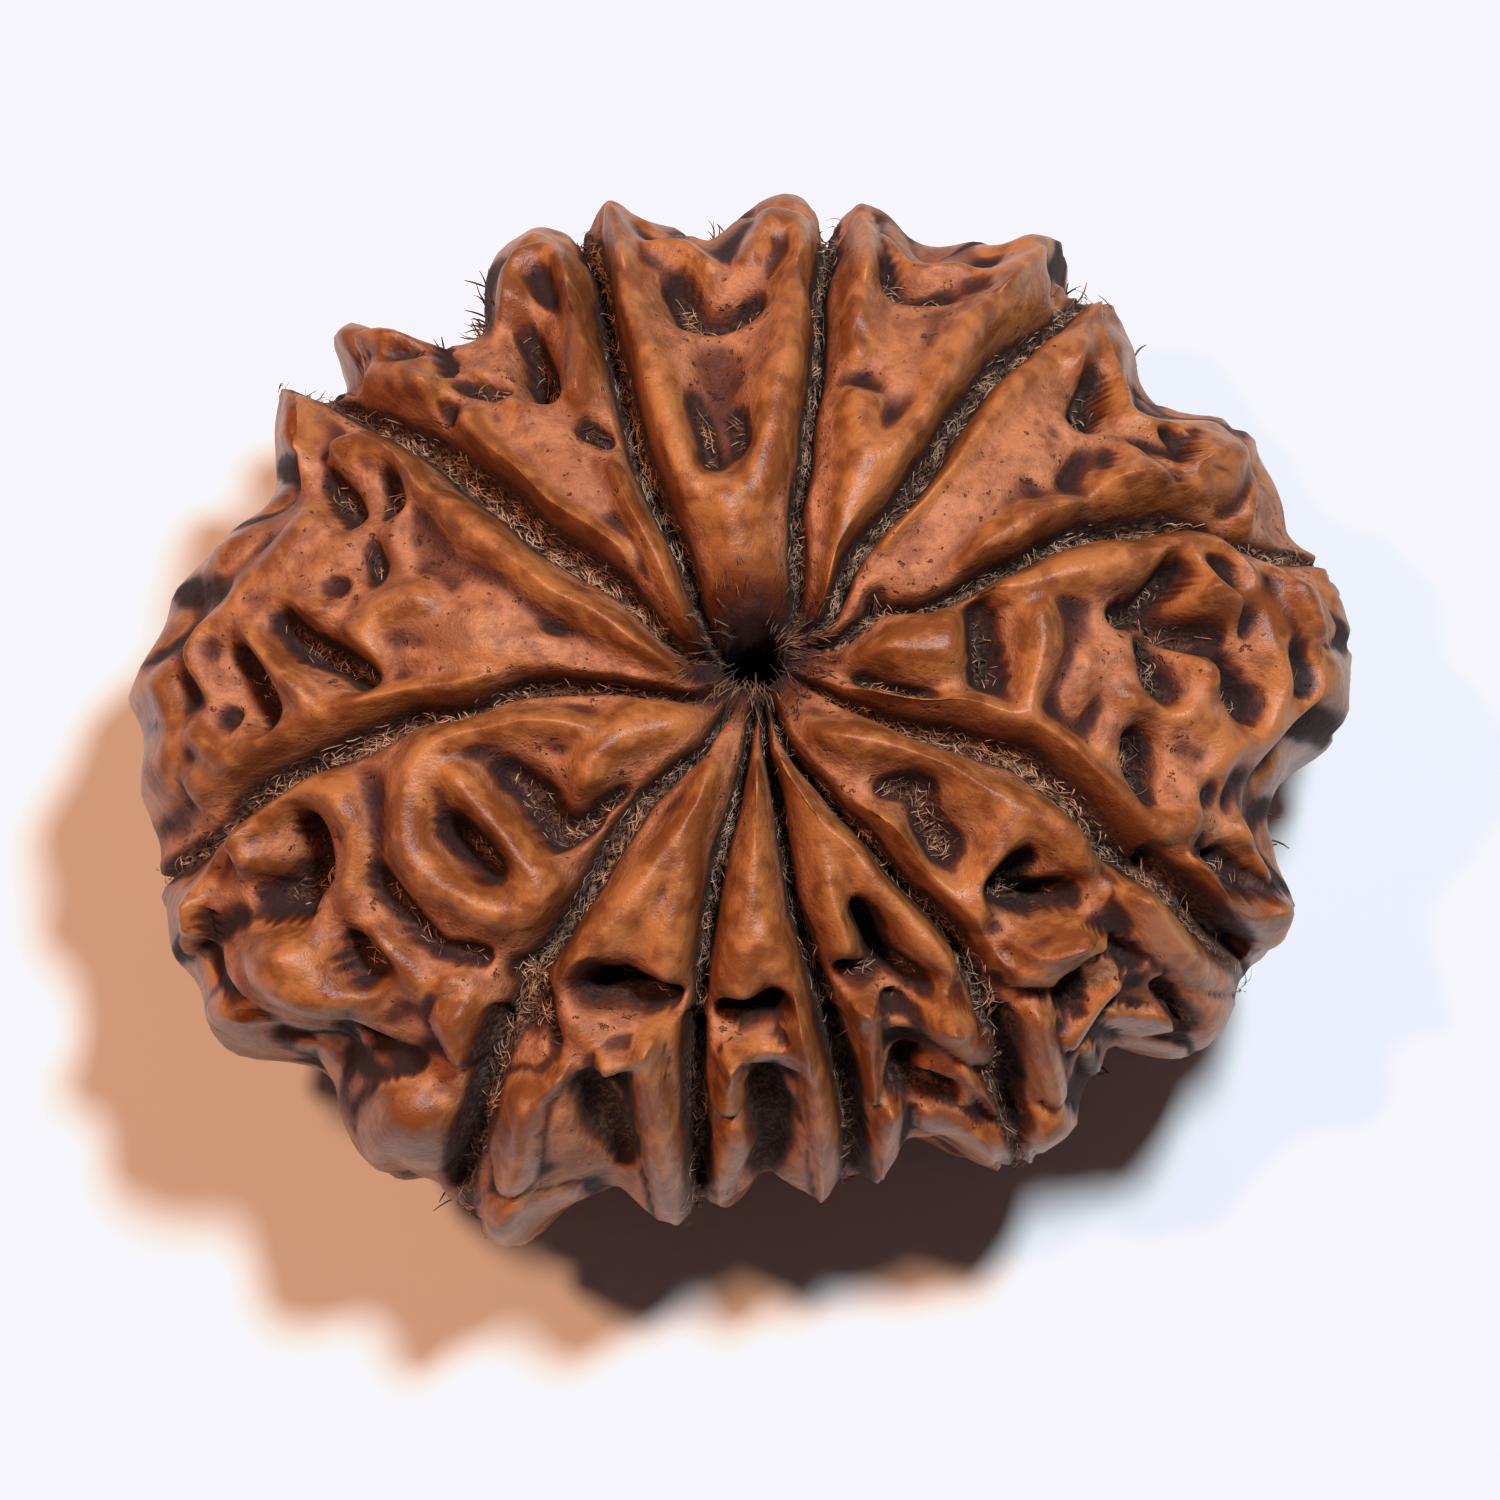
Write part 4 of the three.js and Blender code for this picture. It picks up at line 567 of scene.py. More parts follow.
GAPS = [
    (0.8, [[588, 1094, 18], [600, 1122, 22], [622, 1150, 16]]),
    (0.9, [[764, 1086, 16], [768, 1110, 22], [775, 1140, 18], [764, 1165, 16]]),
    (0.8, [[906, 1060, 14], [900, 1085, 14], [925, 1088, 12], [950, 1095, 10]]),
    (0.25, [[350, 1062, 14], [390, 1058, 16], [415, 1062, 12]]),
    (0.9, [[497, 1025, 16], [486, 1070, 15], [476, 1115, 15], [462, 1165, 14]]),
    (0.9, [[694, 1025, 11], [692, 1075, 12], [695, 1120, 13], [700, 1165, 12]]),
    (0.9, [[828, 1020, 12], [844, 1070, 13], [852, 1120, 12], [855, 1165, 12]]),
    (0.9, [[1001, 1020, 13], [1010, 1075, 14], [1012, 1110, 12], [995, 1080, 10]]),
    (0.5, [[1080, 1100, 14], [1090, 1060, 12]]),
    (0.8, [[1064, 982, 11], [1068, 1002, 11], [1078, 982, 9]]),
    (0.6, [[1110, 948, 10], [1130, 958, 12]]),
    (0.8, [[1160, 988, 9], [1178, 1012, 11]]),
    (0.9, [[1150, 862, 13], [1178, 886, 14], [1206, 914, 14], [1236, 940, 12]]),
    (0.6, [[1256, 884, 13], [1274, 892, 10]]),
    (0.5, [[1185, 452, 8], [1170, 432, 8]]),
    (0.45, [[438, 350, 9], [446, 366, 9]]),
    (0.4, [[332, 386, 9], [340, 400, 8]]),
    (0.5, [[352, 958, 11], [366, 982, 10]]),
    (0.3, [[205, 915, 7], [214, 960, 7], [238, 1010, 7]]),
    (0.6, [[590, 992, 24], [640, 1000, 18]]),
]

# The steep wall, where these knobs take the place of the ridges: its first and last direction in degrees,
# and where it starts, as a share of the outline's distance from the hole axis
WALL = (218, 336, 0.64)
FACES = list(RIDGES)
GROOVES = "ABCDEFGHIJK"


def mix(a, b, t):
    """From a at t = 0 to b at t = 1."""
    return a + (b - a) * t


def bell(distance, reach):
    """1 at no distance, and almost 0 from twice the reach on."""
    return np.exp(-((distance / reach) ** 2))


def smooth_step(values, low, high):
    """0 up to low and 1 from high on, with a smooth rise between them."""
    t = np.clip((values - low) / (high - low), 0, 1)
    return t * t * (3 - 2 * t)


def unit(vector):
    """The vector at length 1."""
    return vector / max(np.linalg.norm(vector), 1e-9)


def turn_between(start, end):
    """The turn from one direction to another, between minus and plus half a turn."""
    return (end - start + math.pi) % (2 * math.pi) - math.pi


def chance(number):
    """A repeatable draw from 0 to 1."""
    value = math.sin(number * 12.9898 + 4.137) * 43758.5453
    return value - math.floor(value)


def traced_outline():
    """The outline's distance from the hole axis in mm at each degree."""
    offsets = np.array(OUTLINE, float) - np.array(HOLE_AXIS_PIXEL)
    degrees = np.degrees(np.arctan2(-offsets[:, 1], offsets[:, 0])) % 360
    order = np.argsort(degrees)
    return np.interp(np.arange(360), degrees[order], np.hypot(*offsets[order].T), period=360) / PIXELS_PER_MM


def evened(ring, spread):
    """A ring of values at each degree, smoothed over a few degrees."""
    reach = int(4 * spread)
    weights = np.exp(-0.5 * (np.arange(-reach, reach + 1) / spread) ** 2)
    padded = np.concatenate([ring[-reach:], ring, ring[:reach]])
    return np.convolve(padded, weights / weights.sum(), mode="valid")


def lobe_tops(ring):
    """The ring over its lobes, with the notches between them filled."""
    reach = 5
    padded = np.concatenate([ring[-reach:], ring, ring[:reach]])
    highest = np.max([padded[k:k + 360] for k in range(2 * reach + 1)], axis=0)
    return evened(highest, 4.0)


NOTCHED_RADII = traced_outline()
ROUND_NOTCHED_RADII = evened(NOTCHED_RADII, 1.7) * 1.06
OUTLINE_RADII = lobe_tops(NOTCHED_RADII) * 1.02
FITTED_RADII = evened(NOTCHED_RADII, 0.8) * 1.005
NOTCH_RATIOS = evened(NOTCHED_RADII, 1.1) * 1.02 / OUTLINE_RADII


def on_ring(ring, azimuth):
    """A ring's value at an azimuth, between the values at its degrees."""
    degrees = np.degrees(np.asarray(azimuth, float)) % 360.0
    below = np.floor(degrees).astype(int) % 360
    return mix(ring[below], ring[(below + 1) % 360], degrees - np.floor(degrees))


def outline_radius(azimuth):
    """How far out the ridge tops reach at an azimuth, in mm."""
    return on_ring(OUTLINE_RADII, azimuth)


def envelope_points(azimuth, polar):
    """Places over the ridge tops, by azimuth about the hole axis and polar angle from its top."""
    out = outline_radius(azimuth) * np.clip(np.sin(polar), 0.0, 1.0) ** (2 / ROUNDNESS)
    cosine = np.cos(polar)
    up = HALF_HEIGHT * np.sign(cosine) * np.abs(cosine) ** (2 / ROUNDNESS)
    return np.stack([out * np.cos(azimuth), out * np.sin(azimuth), up], -1)


def envelope_normals(azimuth, polar):
    """The envelope's outward directions."""
    side = np.clip(np.sin(polar), 0.0, 1.0) ** (2 - 2 / ROUNDNESS) / outline_radius(azimuth)
    cosine = np.cos(polar)
    up = np.sign(cosine) * np.abs(cosine) ** (2 - 2 / ROUNDNESS) / HALF_HEIGHT
    length = np.sqrt(side * side + up * up)
    return np.stack([side * np.cos(azimuth), side * np.sin(azimuth), up], -1) / length[..., None]


def envelope_field(points):
    """Below zero inside the envelope, above zero outside it."""
    azimuth = np.arctan2(points[..., 1], points[..., 0])
    out = np.hypot(points[..., 0], points[..., 1]) / outline_radius(azimuth)
    return out ** ROUNDNESS + np.abs(points[..., 2] / HALF_HEIGHT) ** ROUNDNESS - 1


def camera_axes():
    """The photograph's right, up and backward directions."""
    sine = math.sin(CAMERA_ELEVATION)
    cosine = math.cos(CAMERA_ELEVATION)
    return np.array([1.0, 0.0, 0.0]), np.array([0.0, sine, cosine]), np.array([0.0, -cosine, sine])


def sighted(x, y):
    """Azimuth and polar angle where a photo pixel's sight line meets the envelope, or passes nearest."""
    right, up, back = camera_axes()
    eye = back * CAMERA_DISTANCE
    sideways = right * (x - HOLE_AXIS_PIXEL[0]) / PIXELS_PER_MM
    aim = sideways + up * (HOLE_AXIS_PIXEL[1] - y) / PIXELS_PER_MM
    sight = (aim - eye) / np.linalg.norm(aim - eye)
    steps = np.arange(CAMERA_DISTANCE - SIGHT_REACH, CAMERA_DISTANCE + SIGHT_REACH, SIGHT_STEP)
    fields = envelope_field(eye + steps[:, None] * sight)
    found = steps[int(np.argmin(fields))]
    if fields.min() < 0:
        inside = steps[int(np.argmax(fields < 0))]
        outside = inside - SIGHT_STEP
        for _ in range(20):
            middle = (inside + outside) / 2
            if envelope_field(eye + middle * sight) < 0:
                inside = middle
            else:
                outside = middle
        found = inside
    point = eye + found * sight
    azimuth = math.atan2(point[1], point[0])
    outward = (math.hypot(point[0], point[1]) / float(outline_radius(azimuth))) ** (ROUNDNESS / 2)
    upward = math.copysign(abs(point[2] / HALF_HEIGHT) ** (ROUNDNESS / 2), point[2])
    return azimuth, math.atan2(outward, upward)


def sighted_rows(line):
    """Rows of azimuth, polar angle and half width in mm for a traced line."""
    return np.array([(*sighted(x, y), half_width / PIXELS_PER_MM) for x, y, half_width in line])


def traced_groove(name):
    """A traced groove's rows, from the hole outward."""
    rows = sighted_rows(GROOVE_LINES[name])
    rows = rows[np.argsort(rows[:, 1])]
    rows[:, 0] = np.unwrap(rows[:, 0])
    return rows


TRACED = {name: traced_groove(name) for name in GROOVES}


def groove_azimuth(name, polar):
    """A groove's azimuth at a polar angle: as traced above, and with a slow sway underneath."""
    rows = TRACED[name]
    end_azimuth, end_polar = rows[-1, 0], rows[-1, 1]
    below = np.clip((polar - end_polar) / (math.pi - end_polar), 0, 1)
    sway = np.sin(2.3 * below * math.pi + 1.7 * GROOVES.index(name))
    under = end_azimuth + 0.1 * sway * below * (1 - 0.5 * below)
    return np.where(polar <= end_polar, np.interp(polar, rows[:, 1], rows[:, 0]), under)


def face_span(face, polar):
    """The turn from a face's first groove to its second at a polar angle."""
    return turn_between(groove_azimuth(face[0], polar), groove_azimuth(face[1], polar))


def groove_rows(name):
    """A whole groove's rows, from the upper end of the hole over the rim to its lower end."""
    rows = TRACED[name]
    first = [[rows[0, 0], 0.07, 0.12]]
    polars = np.linspace(rows[-1, 1] + 0.12, math.pi - 0.07, 14)
    narrowing = 1 - 0.55 * np.maximum(0, (polars - 1.9) / 1.2)
    under = np.stack([groove_azimuth(name, polars), polars, 0.25 * narrowing], 1)
    return np.concatenate([first, rows, under])


def carried_over(rows):
    """A traced ridge that reaches the rim goes on over it."""
    rim = 1.22
    drop = 0.28
    result = rows
    step = np.array([0, drop, 0])
    grow = np.array([1, 1, 1.1])
    if rows[0, 1] > rim and (len(rows) < 2 or rows[1, 1] <= rows[0, 1] + 0.02):
        result = np.concatenate([[(rows[0] + step) * grow], result])
    if rows[-1, 1] > rim and (len(rows) < 2 or rows[-2, 1] <= rows[-1, 1] + 0.02):
        result = np.concatenate([result, [(rows[-1] + step) * grow]])
    return result


def mirrored(rows, face, other):
    """The unseen underside repeats the traced relief, upside down and five faces further round."""
    across = turn_between(groove_azimuth(face[0], rows[:, 1]), rows[:, 0]) / face_span(face, rows[:, 1])
    polars = np.clip(math.pi - UNDERSIDE_SPREAD * rows[:, 1], *UNDERSIDE_POLARS)
    span = face_span(other, polars)
    stretch = np.abs(span) / np.maximum(np.abs(face_span(face, rows[:, 1])), 0.05)
    azimuths = groove_azimuth(other[0], polars) + np.clip(across, *INSIDE_FACE) * span
    return np.stack([azimuths, polars, rows[:, 2] * np.clip(stretch, *STRETCH_LIMITS)], 1)


def side_ridge(index):
    """One upright ridge of the side, as rows that sway a little."""
    degrees, width = SIDE_LOBES[index]
    azimuth = math.radians(degrees)
    sway = [0.12 * (chance(index * 7 + k) - 0.5) for k in range(4)]
    return np.array([
        (azimuth + 0.5 * sway[0], 1.12 + 0.4 * chance(index), 0.85 * width),
        (azimuth, 1.5, width),
        (azimuth + sway[2], 1.72, 0.85 * width),
        (azimuth + 1.3 * sway[3], 1.86 + 0.5 * chance(index + 50), 0.8 * width),
    ])


def side_strokes():
    """Upright ridges round the widest part, with pits and cross links between them."""
    result = []
    for index in range(len(SIDE_LOBES)):
        rows = side_ridge(index)
        result.append(("ridge", 0.7 + 0.25 * chance(index + 9), rows))
        if index == 0:
            continue
        before = side_ridge(index - 1)
        between = (before[2, 0] + rows[2, 0]) / 2
        pit = 1.62 + 0.3 * chance(index + 21)
        pit_rows = np.array([(between, pit - 0.05, 0.2), (between + 0.02, pit + 0.05, 0.3)])
        result.append(("pit", 0.5 + 0.9 * chance(index + 33), pit_rows))
        if chance(index + 77) < 0.7:
            link = 1.58 + 0.5 * chance(index + 91)
            slant = 0.2 * (chance(index + 15) - 0.5)
            link_rows = np.array([(before[1, 0], link, 0.38), (rows[1, 0], link + slant, 0.38)])
            result.append(("ridge", 0.75, link_rows))
    return result


def face_strokes(index):
    """The traced strokes of one face, and the same on the underside."""
    face = FACES[index]
    other = FACES[(index + 5) % len(FACES)]
    result = []
    for height, line in RIDGES[face]:
        rows = sighted_rows(line) * np.array([1, 1, TRACED_WIDENING])
        result.append(("ridge", height, carried_over(rows)))
        result.append(("ridge", height, mirrored(rows, face, other)))
    for depth, line in PITS[face]:
        rows = sighted_rows(line)
        result.append(("pit", depth, rows))
        result.append(("pit", depth, mirrored(rows, face, other)))
    return result


def all_strokes():
    """Every groove, ridge and pit of the bead: its kind, its height or depth, and its rows."""
    result = [("groove", 1.0, groove_rows(name)) for name in GROOVES]
    for index in range(len(FACES)):
        result += face_strokes(index)
    return result + side_strokes()


def hollow_section(relative):
    """The section of a groove or pit: 1 on its middle line, and steep at its half width."""
    return 0.5 + 0.5 * np.cos(math.pi * np.minimum(1.0, (relative / HOLLOW_EDGE) ** HOLLOW_STEEPNESS))


def ridge_section(relative):
    """The section of a ridge: 1 on its middle line, with a low skirt that runs out into the floor."""
    core = 0.5 + 0.5 * np.cos(math.pi * np.minimum(1.0, (relative / RIDGE_EDGE) ** RIDGE_STEEPNESS))
    skirt = 0.5 + 0.5 * np.cos(math.pi * np.minimum(1.0, relative / SKIRT))
    return mix(core, skirt, SKIRT_SHARE)


def distance_to(line, widths, places):
    """Distances from places to a stroke: in mm, and in half widths of the stroke."""
    nearest = np.linalg.norm(places - line[0], axis=1)
    relative = nearest / widths[0]
    for k in range(len(line) - 1):
        edge = line[k + 1] - line[k]
        along = np.clip(((places - line[k]) @ edge) / max(float(edge @ edge), 1e-9), 0, 1)
        distance = np.linalg.norm(places - line[k] - along[:, None] * edge, axis=1)
        nearest = np.minimum(nearest, distance)
        relative = np.minimum(relative, distance / mix(widths[k], widths[k + 1], along))
    return nearest, relative


def dome(relative):
    """The section of a knob: round on top, and steep where it ends at its half width."""
    return np.clip(1 - relative ** 2, 0, 1) ** DOME_STEEPNESS


def ripple(places):
    """Slow unevenness of a grown surface, about -1 to 1."""
    x, y, z = places[:, 0], places[:, 1], places[:, 2]
    a = x + 0.55 * np.sin(1.3 * y + 0.7 * z)
    b = y + 0.55 * np.sin(1.1 * z + 1.6 * x + 1)
    c = z + 0.55 * np.sin(1.5 * x + 0.9 * y + 2)
    slow = np.sin(1.9 * a + 0.4) * np.cos(2.1 * b) + np.sin(2 * b + 1.3) * np.cos(1.8 * c)
    quick = np.sin(4.7 * a + 1) * np.cos(5.1 * c) + np.sin(5.3 * b) * np.cos(4.4 * a + 2)
    return 0.33 * slow + 0.17 * quick


def corner_values(cells, seed):
    """A repeatable value from 0 to 1 for each cell corner."""
    value = np.sin(cells[:, 0] * 127.1 + cells[:, 1] * 311.7 + cells[:, 2] * 74.7 + seed * 17.3) * 43758.5453
    return value - np.floor(value)


def value_noise(places, size, seed):
    """Smooth noise from -1 to 1 with lumps of about the given size in mm."""
    scaled = places / size
    cell = np.floor(scaled)
    f = scaled - cell
    f = f * f * (3 - 2 * f)
    total = 0
    for dx in (0, 1):
        for dy in (0, 1):
            for dz in (0, 1):
                weight = (f[:, 0] if dx else 1 - f[:, 0]) * (f[:, 1] if dy else 1 - f[:, 1])
                weight = weight * (f[:, 2] if dz else 1 - f[:, 2])
                total = total + weight * corner_values(cell + np.array([dx, dy, dz]), seed)
    return 2 * total - 1


def roughness_noise(places):
    """Fine roughness at three sizes."""
    return (0.55 * value_noise(places, 0.62, 1) + 0.3 * value_noise(places, 0.31, 2)
            + 0.2 * value_noise(places, 0.16, 3))


def wandered(places):
    """The places, shifted a little, so that the edges of the relief wander as grown ones do."""
    shifts = [value_noise(places, WANDER_SIZE, 5 + axis) for axis in range(3)]
    return places + WANDER * np.stack(shifts, 1)


def stroke_fields(places):
    """What all strokes make at places: ridges, pits, stain in pits, grooves and the distance to a groove."""
    count = len(places)
    ridge_power = np.zeros(count)
    pit = np.zeros(count)
    pit_mask = np.zeros(count)
    groove = np.zeros(count)
    to_groove = np.full(count, 9.0)
    for kind, height, rows in all_strokes():
        line = envelope_points(rows[:, 0], rows[:, 1])
        reach = SKIRT * rows[:, 2].max() + (1.2 if kind == "groove" else 0.05)
        near = np.all((places >= line.min(0) - reach) & (places <= line.max(0) + reach), axis=1)
        index = np.nonzero(near)[0]
        if len(index) == 0:
            continue
        nearest, relative = distance_to(line, rows[:, 2], places[index])
        if kind == "groove":
            section = np.minimum(1, 1.15 * hollow_section(1.15 * relative))
            groove[index] = np.maximum(groove[index], section)
            to_groove[index] = np.minimum(to_groove[index], nearest)
        elif kind == "ridge":
            ridge_power[index] += (height * ridge_section(relative)) ** RIDGE_BLEND
        else:
            # How dark a pit is painted: its stain and painted shade
            stain_and_shade = min(1, height / STAIN_AND_SHADE_DEPTH)
            pit[index] = np.maximum(pit[index], height * hollow_section(relative))
            pit_mask[index] = np.maximum(pit_mask[index], stain_and_shade * hollow_section(relative))
    return ridge_power ** (1 / RIDGE_BLEND), pit, pit_mask, groove, to_groove


def groove_shoulder(out, to_groove, groove):
    """How far the surface bends down beside a groove, more so towards the rim."""
    side = np.minimum(1, out / 11) ** 3
    return (0.12 + 0.4 * side) * bell(to_groove, 0.5 + 0.35 * side) * (1 - groove)


def hole_funnel(out):
    """How far the surface dips towards the thread hole."""
    return HOLE_MOUTH[0] * bell(out, HOLE_MOUTH[1]) + HOLE_BOWL[0] * bell(out, HOLE_BOWL[1])


def relief(azimuth, polar):
    """Heights over the envelope in mm, and the masks that the material reads."""
    places = wandered(envelope_points(azimuth, polar))
    ridges, pit, pit_mask, groove, to_groove = stroke_fields(places)
    ridge = 0.96 * ridges * (1 - 0.97 * groove) * (1 - 0.85 * pit_mask)
    out = np.hypot(places[:, 0], places[:, 1])
    fade, fade_reach = GROOVE_FADE_AT_HOLE
    groove_depth = GROOVE_DEPTH * groove * (1 - fade * bell(out, fade_reach))
    pillow = PILLOW_HEIGHT * np.minimum(1, to_groove / PILLOW_REACH)
    bolder = 1 + RIM_BOLDNESS * bell(polar - RIM_POLAR, RIM_REACH)
    height = bolder * (ridge - FLOOR_DEPTH) + pillow + RIPPLE_HEIGHT * ripple(places)
    height = height - pit * (1 - groove) - groove_depth
    height = height - groove_shoulder(out, to_groove, groove) - hole_funnel(out)
    bare = 1 - np.clip(ridge / 0.6, 0, 1)
    height = height + ROUGH_HEIGHT * roughness_noise(places) * (0.25 + 0.75 * bare)
    return height, {"ridge": ridge, "groove": groove, "pit": pit_mask, "out": out}


def grid_normals(grid):
    """Directions square to a grid of points. On the bead they point into it."""
    around = np.roll(grid, -1, 1) - np.roll(grid, 1, 1)
    along = np.gradient(grid, axis=0)
    normals = np.cross(along, around)
    return normals / np.maximum(np.linalg.norm(normals, axis=2, keepdims=True), 1e-9)


def outward_normals(grid):
    """The grid's normals, turned to point out of the bead."""
    normals = grid_normals(grid)
    return normals * np.sign(np.sum(normals * grid))


def blurred(grid, times):
    """A grid of values, evened out with its neighbours, round the bead and along it."""
    for _ in range(times):
        grid = (np.roll(grid, 1, 1) + 2 * grid + np.roll(grid, -1, 1)) / 4
        padded = np.concatenate([grid[:1], grid, grid[-1:]])
        grid = (padded[:-2] + 2 * padded[1:-1] + padded[2:]) / 4
    return grid


def drawn_in(grid, amount):
    """Moves the ridges in along their own normals, which makes them a little lower and narrower."""
    for _ in range(2):
        normals = blurred(grid_normals(grid), 1)
        grid = grid + normals * 0.5 * amount[..., None]
    return grid


def column_azimuths(polar):
    """Where the columns stand on one ring: they follow the grooves, and are closer together beside them."""
    azimuths = []
    for face in FACES:
        share = abs(float(face_span(face, 1.2))) / (2 * math.pi)
        count = int(round(COLUMNS * (EVEN_SHARE / len(FACES) + (1 - EVEN_SHARE) * share)))
        t = np.arange(count) / count
        across = t - CROWDING_AT_GROOVES * np.sin(2 * math.pi * t)
        azimuths.append(groove_azimuth(face[0], polar) + across * face_span(face, polar))
    return np.concatenate(azimuths)


def notched(points, polar):
    """Brings the rim in between the outline's lobes, and nothing stands far outside the traced outline."""
    start, fade_in, end, fade_out = RIM_BAND
    near_rim = np.clip((polar - start) / fade_in, 0, 1) * np.clip((end - polar) / fade_out, 0, 1)
    azimuth = np.arctan2(points[:, 1], points[:, 0])
    points = points.copy()
    points[:, :2] *= (1 + NOTCH_SHARE * near_rim * (on_ring(NOTCH_RATIOS, azimuth) - 1))[:, None]
    right, up, back = camera_axes()
    nearness = 1 / (1 - points @ back / CAMERA_DISTANCE)
    x = points @ right * nearness
    y = points @ up * nearness
    share = np.hypot(x, y) / on_ring(ROUND_NOTCHED_RADII, np.arctan2(y, x))
    beyond = np.maximum(share - SQUEEZE_START, 0)
    room = 1 - SQUEEZE_START
    squeezed = np.minimum(share, SQUEEZE_START) + room * (1 - np.exp(-beyond / room))
    points[:, :2] *= (squeezed / share)[:, None]
    return points


def seen_at(points):
    """The photo pixels at which the camera sees points."""
    right, up, back = camera_axes()
    scale = PIXELS_PER_MM / (1 - points @ back / CAMERA_DISTANCE)
    x = HOLE_AXIS_PIXEL[0] + points @ right * scale
    y = HOLE_AXIS_PIXEL[1] - points @ up * scale
    return x, y


def fitted_to_outline(grid, polar, groove):
    """Moves the rim in or out, column by column, until it ends at the traced outline."""
    azimuth = np.arctan2(grid[..., 1], grid[..., 0])
    silhouette = math.pi / 2 - SILHOUETTE_LEAN * np.sin(azimuth)
    near_rim = bell(polar - silhouette, FIT_REACH)
    grooved = np.clip(groove[UPPER_RINGS - RIM_RINGS:UPPER_RINGS + RIM_RINGS].mean(axis=0), 0, 1)
    grid = grid.copy()
    for _ in range(FIT_ROUNDS):
        x, y = seen_at(grid)
        right = (x - HOLE_AXIS_PIXEL[0]) / PIXELS_PER_MM
        up = (HOLE_AXIS_PIXEL[1] - y) / PIXELS_PER_MM
        share = np.hypot(right, up) / on_ring(FITTED_RADII, np.arctan2(up, right))
        missing = np.clip(1 / share.max(axis=0), *FIT_LIMITS) - 1
        missing = missing * (1 - KEPT_AT_GROOVES * grooved)
        missing = 0.5 * missing + 0.25 * np.roll(missing, 1) + 0.25 * np.roll(missing, -1)
        grid[..., :2] *= (1 + near_rim * missing)[..., None]
    return grid


def seen_strokes(strokes, places, section):
    """How high strokes stand at places, both in photo pixels."""
    result = np.zeros(len(places))
    for height, rows in strokes:
        rows = np.array(rows, float)
        line = np.column_stack([rows[:, :2], np.zeros(len(rows))])
        reach = 1.2 * rows[:, 2].max()
        near = np.all((places >= line.min(0) - reach) & (places <= line.max(0) + reach), axis=1)
        index = np.nonzero(near)[0]
        if len(index):
            relative = distance_to(line, rows[:, 2], places[index])[1]
            result[index] = np.maximum(result[index], height * section(relative))
    return result


def steep_wall(x, y, facing):
    """1 on the steep wall at the lower rim as the camera sees it, and 0 elsewhere."""
    first, last, start = WALL
    azimuth = np.arctan2(HOLE_AXIS_PIXEL[1] - y, x - HOLE_AXIS_PIXEL[0])
    share = np.hypot(x - HOLE_AXIS_PIXEL[0], y - HOLE_AXIS_PIXEL[1]) / PIXELS_PER_MM
    share = share / on_ring(FITTED_RADII, azimuth)
    direction = np.degrees(azimuth) % 360
    wall = smooth_step(direction, first, first + WALL_END_FADE)
    wall = wall * (1 - smooth_step(direction, last - WALL_END_FADE, last))
    return wall * smooth_step(share, start, start + WALL_START_FADE) * facing


def knobbed_masks(masks, knob, gap, wall):
    """The masks with the knobs as ridges and the gaps as pits. Fibres tangle only in the old pits."""
    kept = 1 - 0.85 * wall
    result = dict(masks)
    result["ridge"] = mix(masks["ridge"], np.maximum(1.2 * knob, 0.2), wall)
    result["tangle"] = masks["pit"] * kept
    result["pit"] = np.maximum(masks["pit"] * kept, np.clip(1.3 * gap, 0, 1))
    result["groove"] = masks["groove"] * (1 - 0.5 * wall * np.minimum(1, knob))
    result["height"] = mix(masks["height"], blurred(masks["height"], 60), 0.8 * wall) + (knob - gap)
    return result


def knobbed(grid, masks):
    """Sets the knobs and gaps where the camera sees them, and smooths the steep wall under them."""
    back = camera_axes()[2]
    smooth = blurred(grid, WALL_SMOOTHING_ROUNDS)
    facing = smooth_step(outward_normals(smooth) @ back, *FACING_CAMERA)
    wall = steep_wall(*seen_at(smooth), facing)
    grid = mix(grid, smooth, WALL_SMOOTHNESS * wall[..., None])
    x, y = seen_at(grid)
    places = np.stack([x.ravel(), y.ravel(), np.zeros(x.size)], axis=1)
    knob = KNOB_HEIGHT * (seen_strokes(KNOBS, places, dome).reshape(x.shape) * facing)
    gap = seen_strokes(GAPS, places, hollow_section).reshape(x.shape) * facing
    outward = grid * (1, 1, 0)
    outward = outward / np.maximum(np.linalg.norm(outward, axis=2, keepdims=True), 1e-6)
    raised = knob - gap * (1 - np.minimum(1, knob))
    grid = grid + (KNOB_LIFT * back + KNOB_LEAN * outward) * raised[..., None]
    return grid, knobbed_masks(masks, knob, gap, wall)


